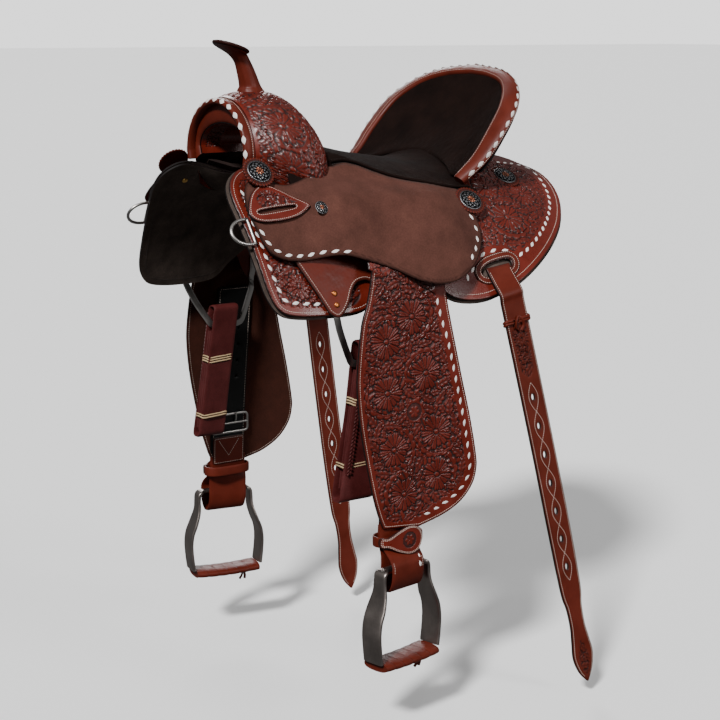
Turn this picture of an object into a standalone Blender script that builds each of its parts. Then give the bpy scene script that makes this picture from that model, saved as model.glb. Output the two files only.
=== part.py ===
"""Western barrel saddle: tree, leather covers, rigging, fenders, stirrups and straps.

Frame: metres, +Z up, the saddle faces -Y, the rider's left is +X. The origin is on the
centre line between the tree bars, where the saddle rests on the horse's back.
"""
import math

import bmesh
import bpy
import numpy as np
from mathutils import Matrix, Vector
from mathutils.geometry import delaunay_2d_cdt

# ---------------------------------------------------------------- driving dimensions
GAP = 0.0004                  # clearance between pieces that touch
SKIRT_THICK = 0.0040          # front and rear skirt leather
LINING_GAP = 0.0023           # between skirt and lining, glued in life
LINING_THICK = 0.0045         # felt and suede lining under the skirts
PLATE_LOW = 0.0046            # the rigging plate lies over the dee, this high on the skirt
PLATE_THICK = 0.0030
JOCKEY_LOW = 0.0098           # underside of the seat jockey over the front skirt
JOCKEY_THICK = 0.0035
JOCKEY_BULGE = 0.0240         # room over the stirrup leathers
PLATE_TUCK = 0.0120           # how far the plate's free rear tip sits in
KEEPER_LIFT = 0.0014          # the keeper bridges the hollows of the jockey under it
KEEPER_THICK = 0.0038
CONCHO_RADIUS = 0.0190
ROSETTE_RADIUS = 0.0248
SCREW_RADIUS = 0.0105
DEE_WIRE = 0.0025             # radius of the breast-collar dee's wire
FENDER_THICK = 0.0040
STRAP_THICK = 0.0055          # doubled stirrup leather behind the fender
FENDER_TOP_X = 0.2460         # outer face of the fender at its top
FENDER_FLARE = 0.0110         # how far the fender stands out further down
FENDER_REAR_FLARE = 0.10      # and how fast it stands out towards its rear edge
FENDER_TOP_Z = -0.105
SWING_PIVOT = (0.1250, -0.0848, 0.0050)   # where the stirrup leather crosses the tree bar
LIFT_FRONT = (-0.1630, -0.0860)           # y, z of the hinge line at the fender's top
LIFT_REAR = (-0.0260, -0.1290)
STIRRUP_Y = -0.1070
STIRRUP_TOP_Z = -0.5410       # centre of the stirrup's neck bar
STIRRUP_X = 0.2640
STIRRUP_TURN = math.radians(10)
HORN_LEAN = math.radians(17.5)
CAP_TILT = math.radians(18.5)
BILLET_WIDTH = 0.0440
LATIGO_WIDTH = 0.0460
LATIGO_LEAN = math.radians(8)   # the straps lean forward on their way down
LATIGO_TOP, LATIGO_FOOT = 0.0350, -0.2080   # ends of the folded strap, from the dee's bottom bar
COVER_THICK = 0.0030          # leather over the fork, in the gullet and behind the cantle
SEAT_THICK = 0.0085           # padded seat
GROUND_DEPTH = (0.0091, 0.0130)   # ground seat, its top and underside below the seat's face
INLAY_THICK = 0.0070          # padded face of the cantle
ROLL_THICK = 0.0070           # half the thickness of the cantle's rolled binding
LOOP_THICK = 0.0040           # upper run of the stirrup leather
HOBBLE_DEPTH = 0.3960         # where the hobble strap goes round, below the fender's top
BUCKLE_DEPTH = 0.3150
EYE_RADIUS, EYE_WALL = 0.0062, 0.0050   # the leather's lower loop round the stirrup's neck bar
STRAP_HALF = 0.0340           # half the stirrup leather's width
STIRRUP_THICK = 0.0060
BILLET_THICK = 0.0042

# side surface, by station along the saddle: y, then the shoulder's x and z, the normal's
# angle there in degrees, and how fast that angle falls down the side in degrees a metre
SIDE = ((-0.34, 0.083, 0.055, 40, 70), (-0.20, 0.100, 0.050, 42, 100), (0.0, 0.115, 0.035, 48, 110),
        (0.15, 0.110, 0.030, 56, 90), (0.33, 0.068, 0.019, 62, 80))
# how far the skirts lie under that surface along the shoulder, where the tree is between
DROP = ((-0.34, 0.0), (-0.27, 0.006), (-0.20, 0.036), (0.0, 0.040), (0.12, 0.036), (0.20, 0.018),
        (0.27, 0.004), (0.34, 0.0))
# seam between seat and jockey, as distance down the side
SEAM = ((-0.16, 0.008), (-0.106, -0.002), (-0.05, 0.021), (0.0, 0.038), (0.04, 0.050), (0.09, 0.052))
SEAT_LINE = ((-0.16, 0.088), (-0.06, 0.063), (0.0, 0.053), (0.06, 0.046), (0.10, 0.050), (0.14, 0.070))

COLOURS = {
    "chestnut": (0.235, 0.058, 0.028, 1), "roughout": (0.150, 0.066, 0.044, 1),
    "suede": (0.028, 0.014, 0.011, 1), "lining": (0.020, 0.014, 0.012, 1),
    "burgundy": (0.120, 0.024, 0.020, 1), "strap": (0.012, 0.012, 0.014, 1),
    "steel": (0.420, 0.400, 0.380, 1), "antique": (0.120, 0.115, 0.110, 1),
    "copper": (0.560, 0.230, 0.100, 1), "tree": (0.420, 0.330, 0.220, 1),
}
ROUGH = {"steel": 0.35, "antique": 0.35, "copper": 0.40, "chestnut": 0.50, "burgundy": 0.55}


# ---------------------------------------------------------------- small tools
def through(value, stations, column=1):
    """Smooth curve through stations (Catmull-Rom on uneven steps)."""
    places = [s[0] for s in stations]
    heights = [s[column] for s in stations]
    value = min(max(value, places[0]), places[-1])
    i = min(max(int(np.searchsorted(places, value)) - 1, 0), len(places) - 2)
    span = places[i + 1] - places[i]
    f = (value - places[i]) / span

    def slope(k):
        a, b = max(k - 1, 0), min(k + 1, len(places) - 1)
        return (heights[b] - heights[a]) / (places[b] - places[a])

    h00, h10 = 2 * f**3 - 3 * f**2 + 1, f**3 - 2 * f**2 + f
    h01, h11 = 3 * f**2 - 2 * f**3, f**3 - f**2
    return h00 * heights[i] + h10 * span * slope(i) + h01 * heights[i + 1] + h11 * span * slope(i + 1)


def step01(x):
    x = min(max(x, 0.0), 1.0)
    return x * x * (3 - 2 * x)


def side_point(y, t, lift):
    """Point t metres down the side at station y, standing lift off the surface."""
    x0, z0 = through(y, SIDE, 1), through(y, SIDE, 2)
    a, k = math.radians(through(y, SIDE, 3)), math.radians(through(y, SIDE, 4))
    turn = a - k * t
    x = x0 + (math.cos(turn) - math.cos(a)) / k
    z = z0 - (math.sin(a) - math.sin(turn)) / k
    return Vector((x + lift * math.cos(turn), y, z + lift * math.sin(turn)))


def drop(y, t):
    return through(y, DROP) * step01((0.105 - t) / 0.115)


def bulge(y, t):
    along = step01((y + 0.235) / 0.07) * step01((0.085 - y) / 0.09)
    return JOCKEY_BULGE * along * step01((t - 0.022) / 0.062)


def seat_point(x, y, lift):
    """Point of the seat's top surface: dished along the centre, falling to both seams."""
    edge = side_point(y, through(y, SEAM), JOCKEY_LOW + JOCKEY_THICK)
    f = x / edge.x
    return Vector((x, y, through(y, SEAT_LINE) + (edge.z - through(y, SEAT_LINE)) * f * f + lift))


def seat_edge(y):
    return side_point(y, through(y, SEAM), JOCKEY_LOW + JOCKEY_THICK).x


def smooth_loop(points, per=4):
    """Closed Catmull-Rom curve through the points."""
    points = [Vector(p) for p in points]
    n = len(points)
    result = []
    for i in range(n):
        a, b, c, d = (points[(i + k) % n] for k in (-1, 0, 1, 2))
        for j in range(per):
            f = j / per
            result.append(0.5 * (2 * b + (c - a) * f + (2 * a - 5 * b + 4 * c - d) * f * f
                                 + (3 * b - a - 3 * c + d) * f**3))
    return result


def smooth_run(points, per=4):
    """Open Catmull-Rom curve through the points."""
    points = [Vector(p) for p in points]
    padded = [2 * points[0] - points[1]] + points + [2 * points[-1] - points[-2]]
    result = []
    for i in range(1, len(padded) - 2):
        a, b, c, d = padded[i - 1:i + 3]
        for j in range(per):
            f = j / per
            result.append(0.5 * (2 * b + (c - a) * f + (2 * a - 5 * b + 4 * c - d) * f * f
                                 + (3 * b - a - 3 * c + d) * f**3))
    return result + [points[-1]]


def round_corners(points, radius, steps=3):
    """Closed outline with each corner rounded by a short curve."""
    points = [Vector(p) for p in points]
    n = len(points)
    result = []
    for i in range(n):
        before, here, after = points[i - 1], points[i], points[(i + 1) % n]
        r = min(radius, 0.45 * (before - here).length, 0.45 * (after - here).length)
        a = here + (before - here).normalized() * r
        b = here + (after - here).normalized() * r
        for j in range(steps + 1):
            f = j / steps
            result.append((1 - f)**2 * a + 2 * f * (1 - f) * here + f * f * b)
    return result


def split_long(ring, longest):
    """The same closed outline with no edge longer than the length given."""
    result = []
    for i, b in enumerate(ring):
        a = ring[i - 1]
        count = math.ceil((b - a).length / longest)
        result += [a.lerp(b, k / count) for k in range(count)]
    return result


def inside(point, loop):
    x, y = point
    hit = False
    for i, b in enumerate(loop):
        a = loop[i - 1]
        if (a[1] > y) != (b[1] > y) and x < (b[0] - a[0]) * (y - a[1]) / (b[1] - a[1]) + a[0]:
            hit = not hit
    return hit


def near_loop(point, loop, distance):
    return any((Vector(point) - Vector(p[:2])).length < distance for p in loop)


# ---------------------------------------------------------------- making objects
def material(name):
    found = bpy.data.materials.get(name)
    if found:
        return found
    made = bpy.data.materials.new(name)
    made.use_nodes = True
    shader = made.node_tree.nodes["Principled BSDF"]
    shader.inputs["Base Color"].default_value = COLOURS[name]
    shader.inputs["Roughness"].default_value = ROUGH.get(name, 0.8)
    shader.inputs["Metallic"].default_value = 1.0 if name in ("steel", "antique", "copper") else 0.0
    made.diffuse_color = COLOURS[name]
    return made


def add(name, mesh_data, finish, pivot=(0, 0, 0)):
    """Make a named object from a bmesh, its origin on its pivot and its faces out."""
    bmesh.ops.remove_doubles(mesh_data, verts=mesh_data.verts, dist=1e-6)
    bmesh.ops.recalc_face_normals(mesh_data, faces=mesh_data.faces)
    if mesh_data.calc_volume(signed=True) < 0:
        bmesh.ops.reverse_faces(mesh_data, faces=mesh_data.faces)
    bmesh.ops.translate(mesh_data, verts=mesh_data.verts, vec=-Vector(pivot))
    mesh = bpy.data.meshes.new(name)
    mesh_data.to_mesh(mesh)
    mesh_data.free()
    mesh.materials.append(material(finish))
    mesh.shade_smooth()
    mesh.set_sharp_from_angle(angle=math.radians(35))
    piece = bpy.data.objects.new(name, mesh)
    piece.location = pivot
    bpy.context.scene.collection.objects.link(piece)
    return piece


def flip(point, side):
    return Vector((point[0] * side, point[1], point[2]))


def panel(name, loop, place, low, high, finish, side=1, holes=(), cell=0.028, pivot=(0, 0, 0)):
    """Leather panel: an outline filled with triangles and placed on a surface, both faces."""
    rings = [split_long([Vector(p[:2]) for p in ring], cell) for ring in (loop, *holes)]
    points = [p for ring in rings for p in ring]
    edges = []
    start = 0
    for ring in rings:
        edges += [(start + i, start + (i + 1) % len(ring)) for i in range(len(ring))]
        start += len(ring)
    xs, ys = [p.x for p in rings[0]], [p.y for p in rings[0]]
    for i in range(math.floor(min(xs) / cell), math.ceil(max(xs) / cell) + 1):
        for j in range(math.floor(min(ys) / cell), math.ceil(max(ys) / cell) + 2):
            p = Vector((i * cell, (j - 0.5 * (i % 2)) * cell))
            if inside(p, rings[0]) and not near_loop(p, rings[0], cell * 0.5):
                if not any(inside(p, h) or near_loop(p, h, cell * 0.4) for h in rings[1:]):
                    points.append(p)
    out = delaunay_2d_cdt(points, edges, [], 1, 1e-7)
    flat, tris = out[0], out[2]
    kept = []
    for tri in tris:
        mid = sum((flat[k] for k in tri), Vector((0, 0))) / 3
        if inside(mid, rings[0]) and not any(inside(mid, h) for h in rings[1:]):
            kept.append(tri)
    mesh_data = bmesh.new()
    floor = [mesh_data.verts.new(flip(place(p.x, p.y, low), side)) for p in flat]
    roof = [mesh_data.verts.new(flip(place(p.x, p.y, high), side)) for p in flat]
    count = {}
    for tri in kept:
        mesh_data.faces.new([roof[k] for k in tri])
        mesh_data.faces.new([floor[k] for k in reversed(tri)])
        for i in range(3):
            edge = (tri[i], tri[(i + 1) % 3])
            count[edge] = count.get(edge, 0) + 1
    for a, b in count:
        if (b, a) not in count:
            mesh_data.faces.new((roof[a], floor[a], floor[b], roof[b]))
    loose = [v for v in mesh_data.verts if not v.link_faces]
    bmesh.ops.delete(mesh_data, geom=loose, context="VERTS")
    return add(name, mesh_data, finish, pivot)


def slab(name, upper, lower, nu, nv, finish, side=1):
    """Closed solid between two surfaces over the unit square."""
    mesh_data = bmesh.new()
    grids = []
    for surface in (upper, lower):
        grids.append([[mesh_data.verts.new(flip(surface(i / nu, j / nv), side)) for j in range(nv + 1)]
                      for i in range(nu + 1)])
    top, base = grids
    for i in range(nu):
        for j in range(nv):
            mesh_data.faces.new((top[i][j], top[i + 1][j], top[i + 1][j + 1], top[i][j + 1]))
            mesh_data.faces.new((base[i][j], base[i][j + 1], base[i + 1][j + 1], base[i + 1][j]))
    border = [(i, 0) for i in range(nu)] + [(nu, j) for j in range(nv)]
    border += [(i, nv) for i in range(nu, 0, -1)] + [(0, j) for j in range(nv, 0, -1)]
    for k, (i, j) in enumerate(border):
        p, q = border[(k + 1) % len(border)]
        mesh_data.faces.new((top[i][j], base[i][j], base[p][q], top[p][q]))
    return add(name, mesh_data, finish)


def loft(name, rings, finish, pivot=(0, 0, 0), closed=False):
    """Solid through rings of equally many points, capped unless it closes on itself."""
    mesh_data = bmesh.new()
    made = [[mesh_data.verts.new(p) for p in ring] for ring in rings]
    n = len(made[0])
    pairs = list(zip(made, made[1:] + made[:1] if closed else made[1:]))
    for a, b in pairs:
        for i in range(n):
            mesh_data.faces.new((a[i], a[(i + 1) % n], b[(i + 1) % n], b[i]))
    if not closed:
        mesh_data.faces.new(list(reversed(made[0])))
        mesh_data.faces.new(made[-1])
    return add(name, mesh_data, finish, pivot)


STRIP_SECTION = ((1, .6), (.8, 1), (-.8, 1), (-1, .6), (-1, -.6), (-.8, -1), (.8, -1), (1, -.6))


def tube(name, path, radius, finish, sides=8, pivot=(0, 0, 0), closed=False, flat=None, up=None):
    """Bar of round section, or of flat=(width, thickness) section with its width along up."""
    path = [Vector(p) for p in path]
    rings = []
    guide = Vector(up) if up else Vector((0, 0, 1))
    for i, here in enumerate(path):
        before = path[i - 1] if i or closed else here
        after = path[(i + 1) % len(path)] if i < len(path) - 1 or closed else here
        along = (after - before).normalized()
        u = (guide - guide.dot(along) * along).normalized()
        v = along.cross(u)
        if flat:
            w, t = flat[0] / 2, flat[1] / 2
            rings.append([here + u * a * w + v * b * t for a, b in STRIP_SECTION])
        else:
            turns = (2 * math.pi * k / sides for k in range(sides))
            rings.append([here + radius * (math.cos(a) * u + math.sin(a) * v) for a in turns])
    return loft(name, rings, finish, pivot, closed)


def turned(name, profile, centre, axis, finish, sides=20):
    """Solid of revolution: profile of (radius, height) pairs about an axis."""
    axis = Vector(axis).normalized()
    frame = axis.to_track_quat("Z", "Y").to_matrix()
    rings = []
    for radius, height in profile:
        turns = (2 * math.pi * k / sides for k in range(sides))
        rings.append([Vector(centre) + frame @ Vector((radius * math.cos(a), radius * math.sin(a), height))
                      for a in turns])
    return loft(name, rings, finish)


# ---------------------------------------------------------------- skirts, jockey and lining
SKIRT_FRONT = ((-0.262, -0.002), (-0.286, 0.009), (-0.303, 0.029), (-0.309, 0.055), (-0.307, 0.088),
               (-0.303, 0.127), (-0.300, 0.166), (-0.296, 0.206))
SKIRT_FRONT_FOOT = ((-0.287, 0.230), (-0.266, 0.241), (-0.215, 0.243), (-0.150, 0.236), (-0.118, 0.205))
SKIRT_REAR = ((-0.034, 0.188), (-0.019, 0.209), (0.000, 0.225), (0.022, 0.233), (0.049, 0.236),
              (0.073, 0.233), (0.114, 0.222), (0.163, 0.198), (0.214, 0.166), (0.258, 0.130),
              (0.292, 0.087), (0.308, 0.044), (0.304, 0.010), (0.280, -0.012))
JOCKEY = ((-0.300, 0.075), (-0.297, 0.108), (-0.289, 0.144), (-0.270, 0.160), (-0.243, 0.164),
          (-0.194, 0.162), (-0.157, 0.171), (-0.112, 0.186), (-0.076, 0.203), (-0.044, 0.211),
          (-0.010, 0.209), (0.027, 0.190), (0.055, 0.163), (0.070, 0.133), (0.073, 0.105))
SLOT = ((0.056, 0.194), (0.072, 0.184), (0.104, 0.182), (0.110, 0.190), (0.100, 0.200), (0.064, 0.204))
PLATE_MIDDLE = -0.131
PLATE_TIP = 0.066             # from the plate's middle to each of its tips
DEE_LIFT = 0.0019             # the dee's flat bar lies between the skirt and the plate
DEE_UNDER_PLATE = (0.205, 0.226, 0.238, 0.2475)
PLATE_HALF = ((0.000, 0.196), (0.012, 0.193), (0.026, 0.197), (0.036, 0.208), (0.045, 0.226),
              (0.056, 0.241), (0.066, 0.247), (0.077, 0.242), (0.085, 0.229))
# lower arm of the rigging dee, from the skirt's edge to its bottom bar: x, half width, z
DEE_ARM = ((0.2200, 0.0590, -0.182), (0.2150, 0.0480, -0.204), (0.2080, 0.0350, -0.226),
           (0.2060, 0.0290, -0.2350), (0.2050, 0.0210, -0.2380))
KEEPER = ((-0.287, 0.058), (-0.259, 0.048), (-0.213, 0.078), (-0.214, 0.090), (-0.242, 0.102),
          (-0.287, 0.106), (-0.303, 0.092))
KEEPER_SLOT = ((-0.284, 0.088), (-0.234, 0.081), (-0.233, 0.085), (-0.283, 0.093))
RIVET_STRIP = (0.004, 0.205, 0.236)   # half width, then how far down the side it runs
RIVETS_AT = (0.212, 0.229)
RIVET_HEAD = ((0.0038, 0), (0.0036, 0.0010), (0.0018, 0.0018))
ROSETTE = ((0.0242, 0), (ROSETTE_RADIUS, 0.0015), (0.0235, 0.0030), (0.0185, 0.0034))
CONCHO = ((0.0180, 0), (CONCHO_RADIUS, 0.0010), (0.0175, 0.0030), (0.0100, 0.0050), (0.0030, 0.0056))
# centre of each concho: y, distance down the side, height over it
CONCHO_SEATS = {"front": (-0.268, 0.028, 0.0198), "side": (0.074, 0.082, 0.0192),
                "back": (0.200, 0.022, 0.0020)}
SCREW_AT = (-0.196, 0.092)


def under(y, t, lift):
    return side_point(y, t, lift - drop(y, t))


def over(y, t, lift):
    return side_point(y, t, lift + bulge(y, t))


def skirts(side, tag):
    top_front = ((-0.190, -0.006), (-0.225, -0.008))
    front = list(SKIRT_FRONT) + list(SKIRT_FRONT_FOOT) + [(-0.112, 0.150), (-0.112, 0.060), (-0.140, 0.004)]
    front += list(top_front)
    panel("front_skirt_" + tag, smooth_loop(front, 2), under, -SKIRT_THICK, 0.0, "chestnut", side)
    rear = list(SKIRT_REAR) + [(0.230, -0.022), (0.160, -0.016), (0.060, 0.008), (-0.010, 0.022),
                               (-0.050, 0.080), (-0.052, 0.140)]
    panel("rear_skirt_" + tag, smooth_loop(rear, 2), under, -SKIRT_THICK, 0.0, "chestnut", side,
          holes=(smooth_loop(SLOT, 2),))
    lining = [(y - 0.003, t) for y, t in SKIRT_FRONT] + [(y, t + 0.003) for y, t in SKIRT_FRONT_FOOT]
    lining += [(-0.085, 0.180), (-0.060, 0.176)] + [(y * 1.01, t + 0.003) for y, t in SKIRT_REAR]
    lining += [(0.220, -0.026), (0.120, -0.016), (0.0, -0.012), (-0.12, -0.010), (-0.20, -0.010)]
    panel("skirt_lining_" + tag, smooth_loop(lining, 2), under,
          -SKIRT_THICK - LINING_GAP - LINING_THICK, -SKIRT_THICK - LINING_GAP, "lining", side,
          holes=(smooth_loop(SLOT, 2),))


def jockey(side, tag):
    seam = [(0.070, 0.060), (0.035, 0.050), (0.0, 0.040), (-0.050, 0.023), (-0.106, 0.001), (-0.138, 0.009)]
    fork_edge = [(-0.150, 0.048), (-0.176, 0.062), (-0.220, 0.060), (-0.250, 0.044), (-0.285, 0.040)]
    panel("seat_jockey_" + tag, smooth_loop(list(JOCKEY) + seam + fork_edge, 2), over, JOCKEY_LOW,
          JOCKEY_LOW + JOCKEY_THICK, "roughout", side, cell=0.026)


def plate_point(y, t, lift):
    """The plate's rear tip hangs free of the skirt, and tucks in under the fender."""
    tuck = PLATE_TUCK * step01((y + 0.118) / 0.050) * step01((t - 0.184) / 0.050)
    return side_point(y, t, lift - tuck)


def rigging(side, tag):
    """Two-tipped leather plate, and the flat steel dee that is riveted under its tips."""
    tips = [(PLATE_MIDDLE - d, t) for d, t in reversed(PLATE_HALF)] + \
           [(PLATE_MIDDLE + d, t) for d, t in PLATE_HALF[1:]]
    outline = tips + [(-0.030, 0.190), (-0.022, 0.150), (-0.030, 0.110), (-0.100, 0.095), (-0.180, 0.100),
                      (-0.250, 0.118), (-0.252, 0.150)]
    panel("rigging_plate_" + tag, smooth_loop(outline, 2), plate_point, PLATE_LOW, PLATE_LOW + PLATE_THICK,
          "chestnut", side, cell=0.022)
    half, other = ([plate_point(PLATE_MIDDLE + end * PLATE_TIP, t, DEE_LIFT) for t in DEE_UNDER_PLATE]
                   + [Vector((x, PLATE_MIDDLE + end * d, z)) for x, d, z in DEE_ARM] for end in (1, -1))
    other.reverse()
    path = [flip(p, side) for p in smooth_run(half, 2) + smooth_run(other, 2)]
    tube("rigging_dee_" + tag, path, 0, "steel", flat=(0.0030, 0.0085), up=(1, 0, 0))
    rivets(side, tag)


def rivets(side, tag):
    """Two copper rivet heads on the strip of burrs that ties them."""
    y = PLATE_MIDDLE - PLATE_TIP
    low = PLATE_LOW + PLATE_THICK + GAP
    front, rear = y - RIVET_STRIP[0], y + RIVET_STRIP[0]
    top, foot = RIVET_STRIP[1:]
    strip = round_corners([(front, top), (rear, top), (rear, foot), (front, foot)], 0.003, 2)
    base = panel("rigging_rivets_" + tag, strip, side_point, low, low + 0.0006, "copper", side)
    for t in RIVETS_AT:
        here = flip(side_point(y, t, low + 0.0003), side)
        out = flip(side_point(y, t, low + 0.01) - side_point(y, t, low), side)
        head = turned("rivet_head", RIVET_HEAD, here, out, "copper", 10)
        join = base.modifiers.new("head", "BOOLEAN")
        join.operation = "UNION"
        join.solver = "EXACT"
        join.object = head
        head.hide_render = True
        head.display_type = "WIRE"


def trim(side, tag):
    """Latigo keeper, rosettes, conchos and the small screw on one side."""
    low = JOCKEY_LOW + JOCKEY_THICK + GAP
    keeper_low = low + KEEPER_LIFT
    panel("latigo_keeper_" + tag, smooth_loop(KEEPER, 2), over, keeper_low, keeper_low + KEEPER_THICK,
          "chestnut", side, holes=(smooth_loop(KEEPER_SLOT, 2),), cell=0.03)
    small = tuple((r * SCREW_RADIUS / CONCHO_RADIUS, h) for r, h in CONCHO)
    for place, (y, t, lift) in CONCHO_SEATS.items():
        here = side_point(y, t, lift)
        out = side_point(y, t, lift + 0.01) - here
        if place == "front":
            turned("front_rosette_" + tag, ROSETTE, flip(here, side), flip(out, side), "chestnut")
            here = here + out.normalized() * (0.0034 + GAP)
        turned(place + "_concho_" + tag, CONCHO, flip(here, side), flip(out, side), "antique")
    here = over(*SCREW_AT, low + 0.0050)
    out = over(*SCREW_AT, low + 0.01) - here
    turned("jockey_screw_" + tag, small, flip(here, side), flip(out, side), "antique", 14)


# ---------------------------------------------------------------- tree, fork, horn
BINDING_SECTION, BINDING_AHEAD = (0.016, 0.010), 0.0086   # roll along the fork's front edge
# fork sections from front to rear: y, crown height, half width, foot height
FORK = ((-0.250, 0.148, 0.090, 0.046), (-0.225, 0.155, 0.112, 0.034), (-0.195, 0.157, 0.131, 0.022),
        (-0.170, 0.150, 0.138, 0.020), (-0.152, 0.131, 0.132, 0.026), (-0.143, 0.110, 0.118, 0.036))


def spaced(rows):
    """The rows as stations, evenly spaced from 0 to 1."""
    return [(i / (len(rows) - 1), *row) for i, row in enumerate(rows)]


def arch(f, s, inset):
    """Point of the fork's surface: f from front to rear, s from -1 to 1 across the arch."""
    y, crown, half, foot = (through(f, spaced(FORK), column) for column in (1, 2, 3, 4))
    return arch_curve(y, crown - inset, half - inset, foot, s)


def arch_curve(y, crown, half, foot, s):
    """Point of an upside-down U: a round crown, then nearly upright legs down to the foot."""
    spring = crown - half * 0.92
    spring = max(spring, foot + 0.012)
    turn = abs(s) / 0.76 * math.pi / 2
    if abs(s) <= 0.76:
        x, z = half * math.sin(turn), spring + (crown - spring) * math.cos(turn)
    else:
        down = (abs(s) - 0.76) / 0.24
        x, z = half * (1 - 0.05 * down), spring + (foot - spring) * down
    return Vector((math.copysign(x, s), y, z))


def gullet(f, s, inset):
    """Inner arch, over the horse's withers."""
    return arch_curve(-0.2495 + 0.1055 * f, 0.112 - 0.006 * f - inset, 0.074 - inset, 0.060, s)


def fork():
    def wall(surface, inset):
        return lambda u, v: surface(v, 2 * u - 1, inset)

    slab("fork_cover", wall(arch, 0.0), wall(arch, COVER_THICK), 24, 8, "chestnut")
    slab("tree_fork", wall(arch, COVER_THICK + 2 * GAP), wall(gullet, 0.0), 24, 8, "tree")
    slab("gullet_lining", wall(gullet, GAP), wall(gullet, COVER_THICK), 24, 4, "chestnut")
    crown = [arch(0.0, -0.93 + 1.86 * k / 26, 0.006) for k in range(27)]
    rim = [p - Vector((0, BINDING_AHEAD, 0)) for p in crown]
    tube("fork_binding", rim, 0, "chestnut", flat=BINDING_SECTION, up=(0, 1, 0.0001))


# the horn's neck from its base up: y, z, radius, and how far it leans (up to 1) or tips back (down to -1)
NECK = ((-0.2030, 0.1600, 0.0190, 0.0), (-0.2045, 0.1655, 0.0160, 0.3), (-0.2110, 0.1850, 0.0135, 1.0),
        (-0.2185, 0.2030, 0.0118, 1.0), (-0.2250, 0.2105, 0.0150, -0.2), (-0.2345, 0.2160, 0.0235, -1.0),
        (-0.2372, 0.2185, 0.0262, -1.0))
CAP = ((0.0250, 0), (0.0282, 0.0012), (0.0290, 0.0030), (0.0275, 0.0050), (0.0200, 0.0062))


def horn():
    """Neck wrapped in leather, leaning forward, under a cap that tips back."""
    rings = []
    for y, z, radius, lean in NECK:
        tip = HORN_LEAN * lean if lean > 0 else CAP_TILT * lean
        axis = Vector((0, -math.sin(tip), math.cos(tip)))
        frame = Matrix(((1, 0, 0), (0, axis.z, axis.y), (0, -axis.y, axis.z)))
        rings.append([Vector((0, y, z)) + frame @ Vector((radius * math.cos(a), radius * math.sin(a), 0))
                      for a in (2 * math.pi * k / 18 for k in range(18))])
    loft("horn_wrap", rings, "chestnut")
    up = Vector((0, math.sin(CAP_TILT), math.cos(CAP_TILT)))
    turned("horn_cap", CAP, Vector((0, *NECK[-1][:2])) + up * GAP, up, "chestnut", 24)


def tree_bars(side, tag):
    def top(u, v):
        y, t = -0.235 + 0.395 * u, -0.014 + 0.070 * v
        return side_point(y, t, max(-0.0265, -drop(y, t) + 0.0085))

    def base(u, v):
        y, t = -0.235 + 0.395 * u, -0.014 + 0.070 * v
        return side_point(y, t, -drop(y, t) + 0.0026)

    slab("tree_bar_" + tag, top, base, 10, 3, "tree", side)


# ---------------------------------------------------------------- seat and cantle
SEAT_ENDS = (-0.138, 0.104)
TREE_CANTLE_DEPTH = (0.0080, 0.0140)   # its face and its rear, behind the inlay's face
# inner and outer edge of the cantle roll, from the near end up to the crown: x, y, z
ROLL_IN = ((0.148, 0.074, 0.022), (0.150, 0.106, 0.050), (0.149, 0.134, 0.085), (0.138, 0.172, 0.130),
           (0.104, 0.202, 0.160), (0.054, 0.215, 0.173), (0.0, 0.219, 0.177))
ROLL_OUT = ((0.166, 0.080, 0.014), (0.178, 0.116, 0.048), (0.181, 0.146, 0.085), (0.172, 0.180, 0.126),
            (0.140, 0.209, 0.157), (0.086, 0.229, 0.178), (0.0, 0.240, 0.187))

ROLL_SECTION = ((1, 0), (.7, .8), (0, 1), (-.7, .8), (-1, 0), (-.7, -.8), (0, -1), (.7, -.8))


def rim_point(rim, f):
    """Point of a cantle edge, f from -1 on the far side over the crown to 1 on the near side."""
    stations = spaced(rim)
    s = 1 - abs(f)
    return Vector((math.copysign(through(s, stations, 1), f) if f else 0.0, through(s, stations, 2),
                   through(s, stations, 3)))


def inlay_point(f, v, back):
    """Face of the cantle over the seat: f across it, v from the seat up to the roll."""
    low = Vector((0.140 * f, 0.112 - 0.040 * f * f, 0.056 - 0.030 * f * f))
    high = rim_point(ROLL_IN, f) * 0.985 + Vector((0, 0.003, 0.001))
    dish = 0.012 * math.sin(math.pi * v) * (1 - f * f)
    lean = Vector((0, 0.76, -0.65))
    return low.lerp(high, v) + lean * (dish + back)


def back_point(f, v, out):
    low = Vector((0.150 * f, 0.207 - 0.100 * f * f, 0.046 - 0.030 * f * f))
    high = rim_point(ROLL_OUT, f).lerp(rim_point(ROLL_IN, f), 0.35) + Vector((0, 0.008, -0.010))
    return low.lerp(high, v) + Vector((0, 0.9, -0.2)) * (out - 0.004 * math.sin(math.pi * v))


def seat():
    def across(lift, front, rear):
        def surface(u, v):
            f = 2 * u - 1
            y = front + (rear - 0.034 * f * f - front) * v
            return seat_point(f * (seat_edge(y) - 0.0025), y, lift)
        return surface

    front, rear = SEAT_ENDS
    slab("seat_pad", across(0.0, front, rear), across(-SEAT_THICK, front, rear), 16, 10, "suede")
    top, base = GROUND_DEPTH
    slab("ground_seat", across(-top, front, rear), across(-base, front, rear), 16, 10, "tree")


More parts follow.
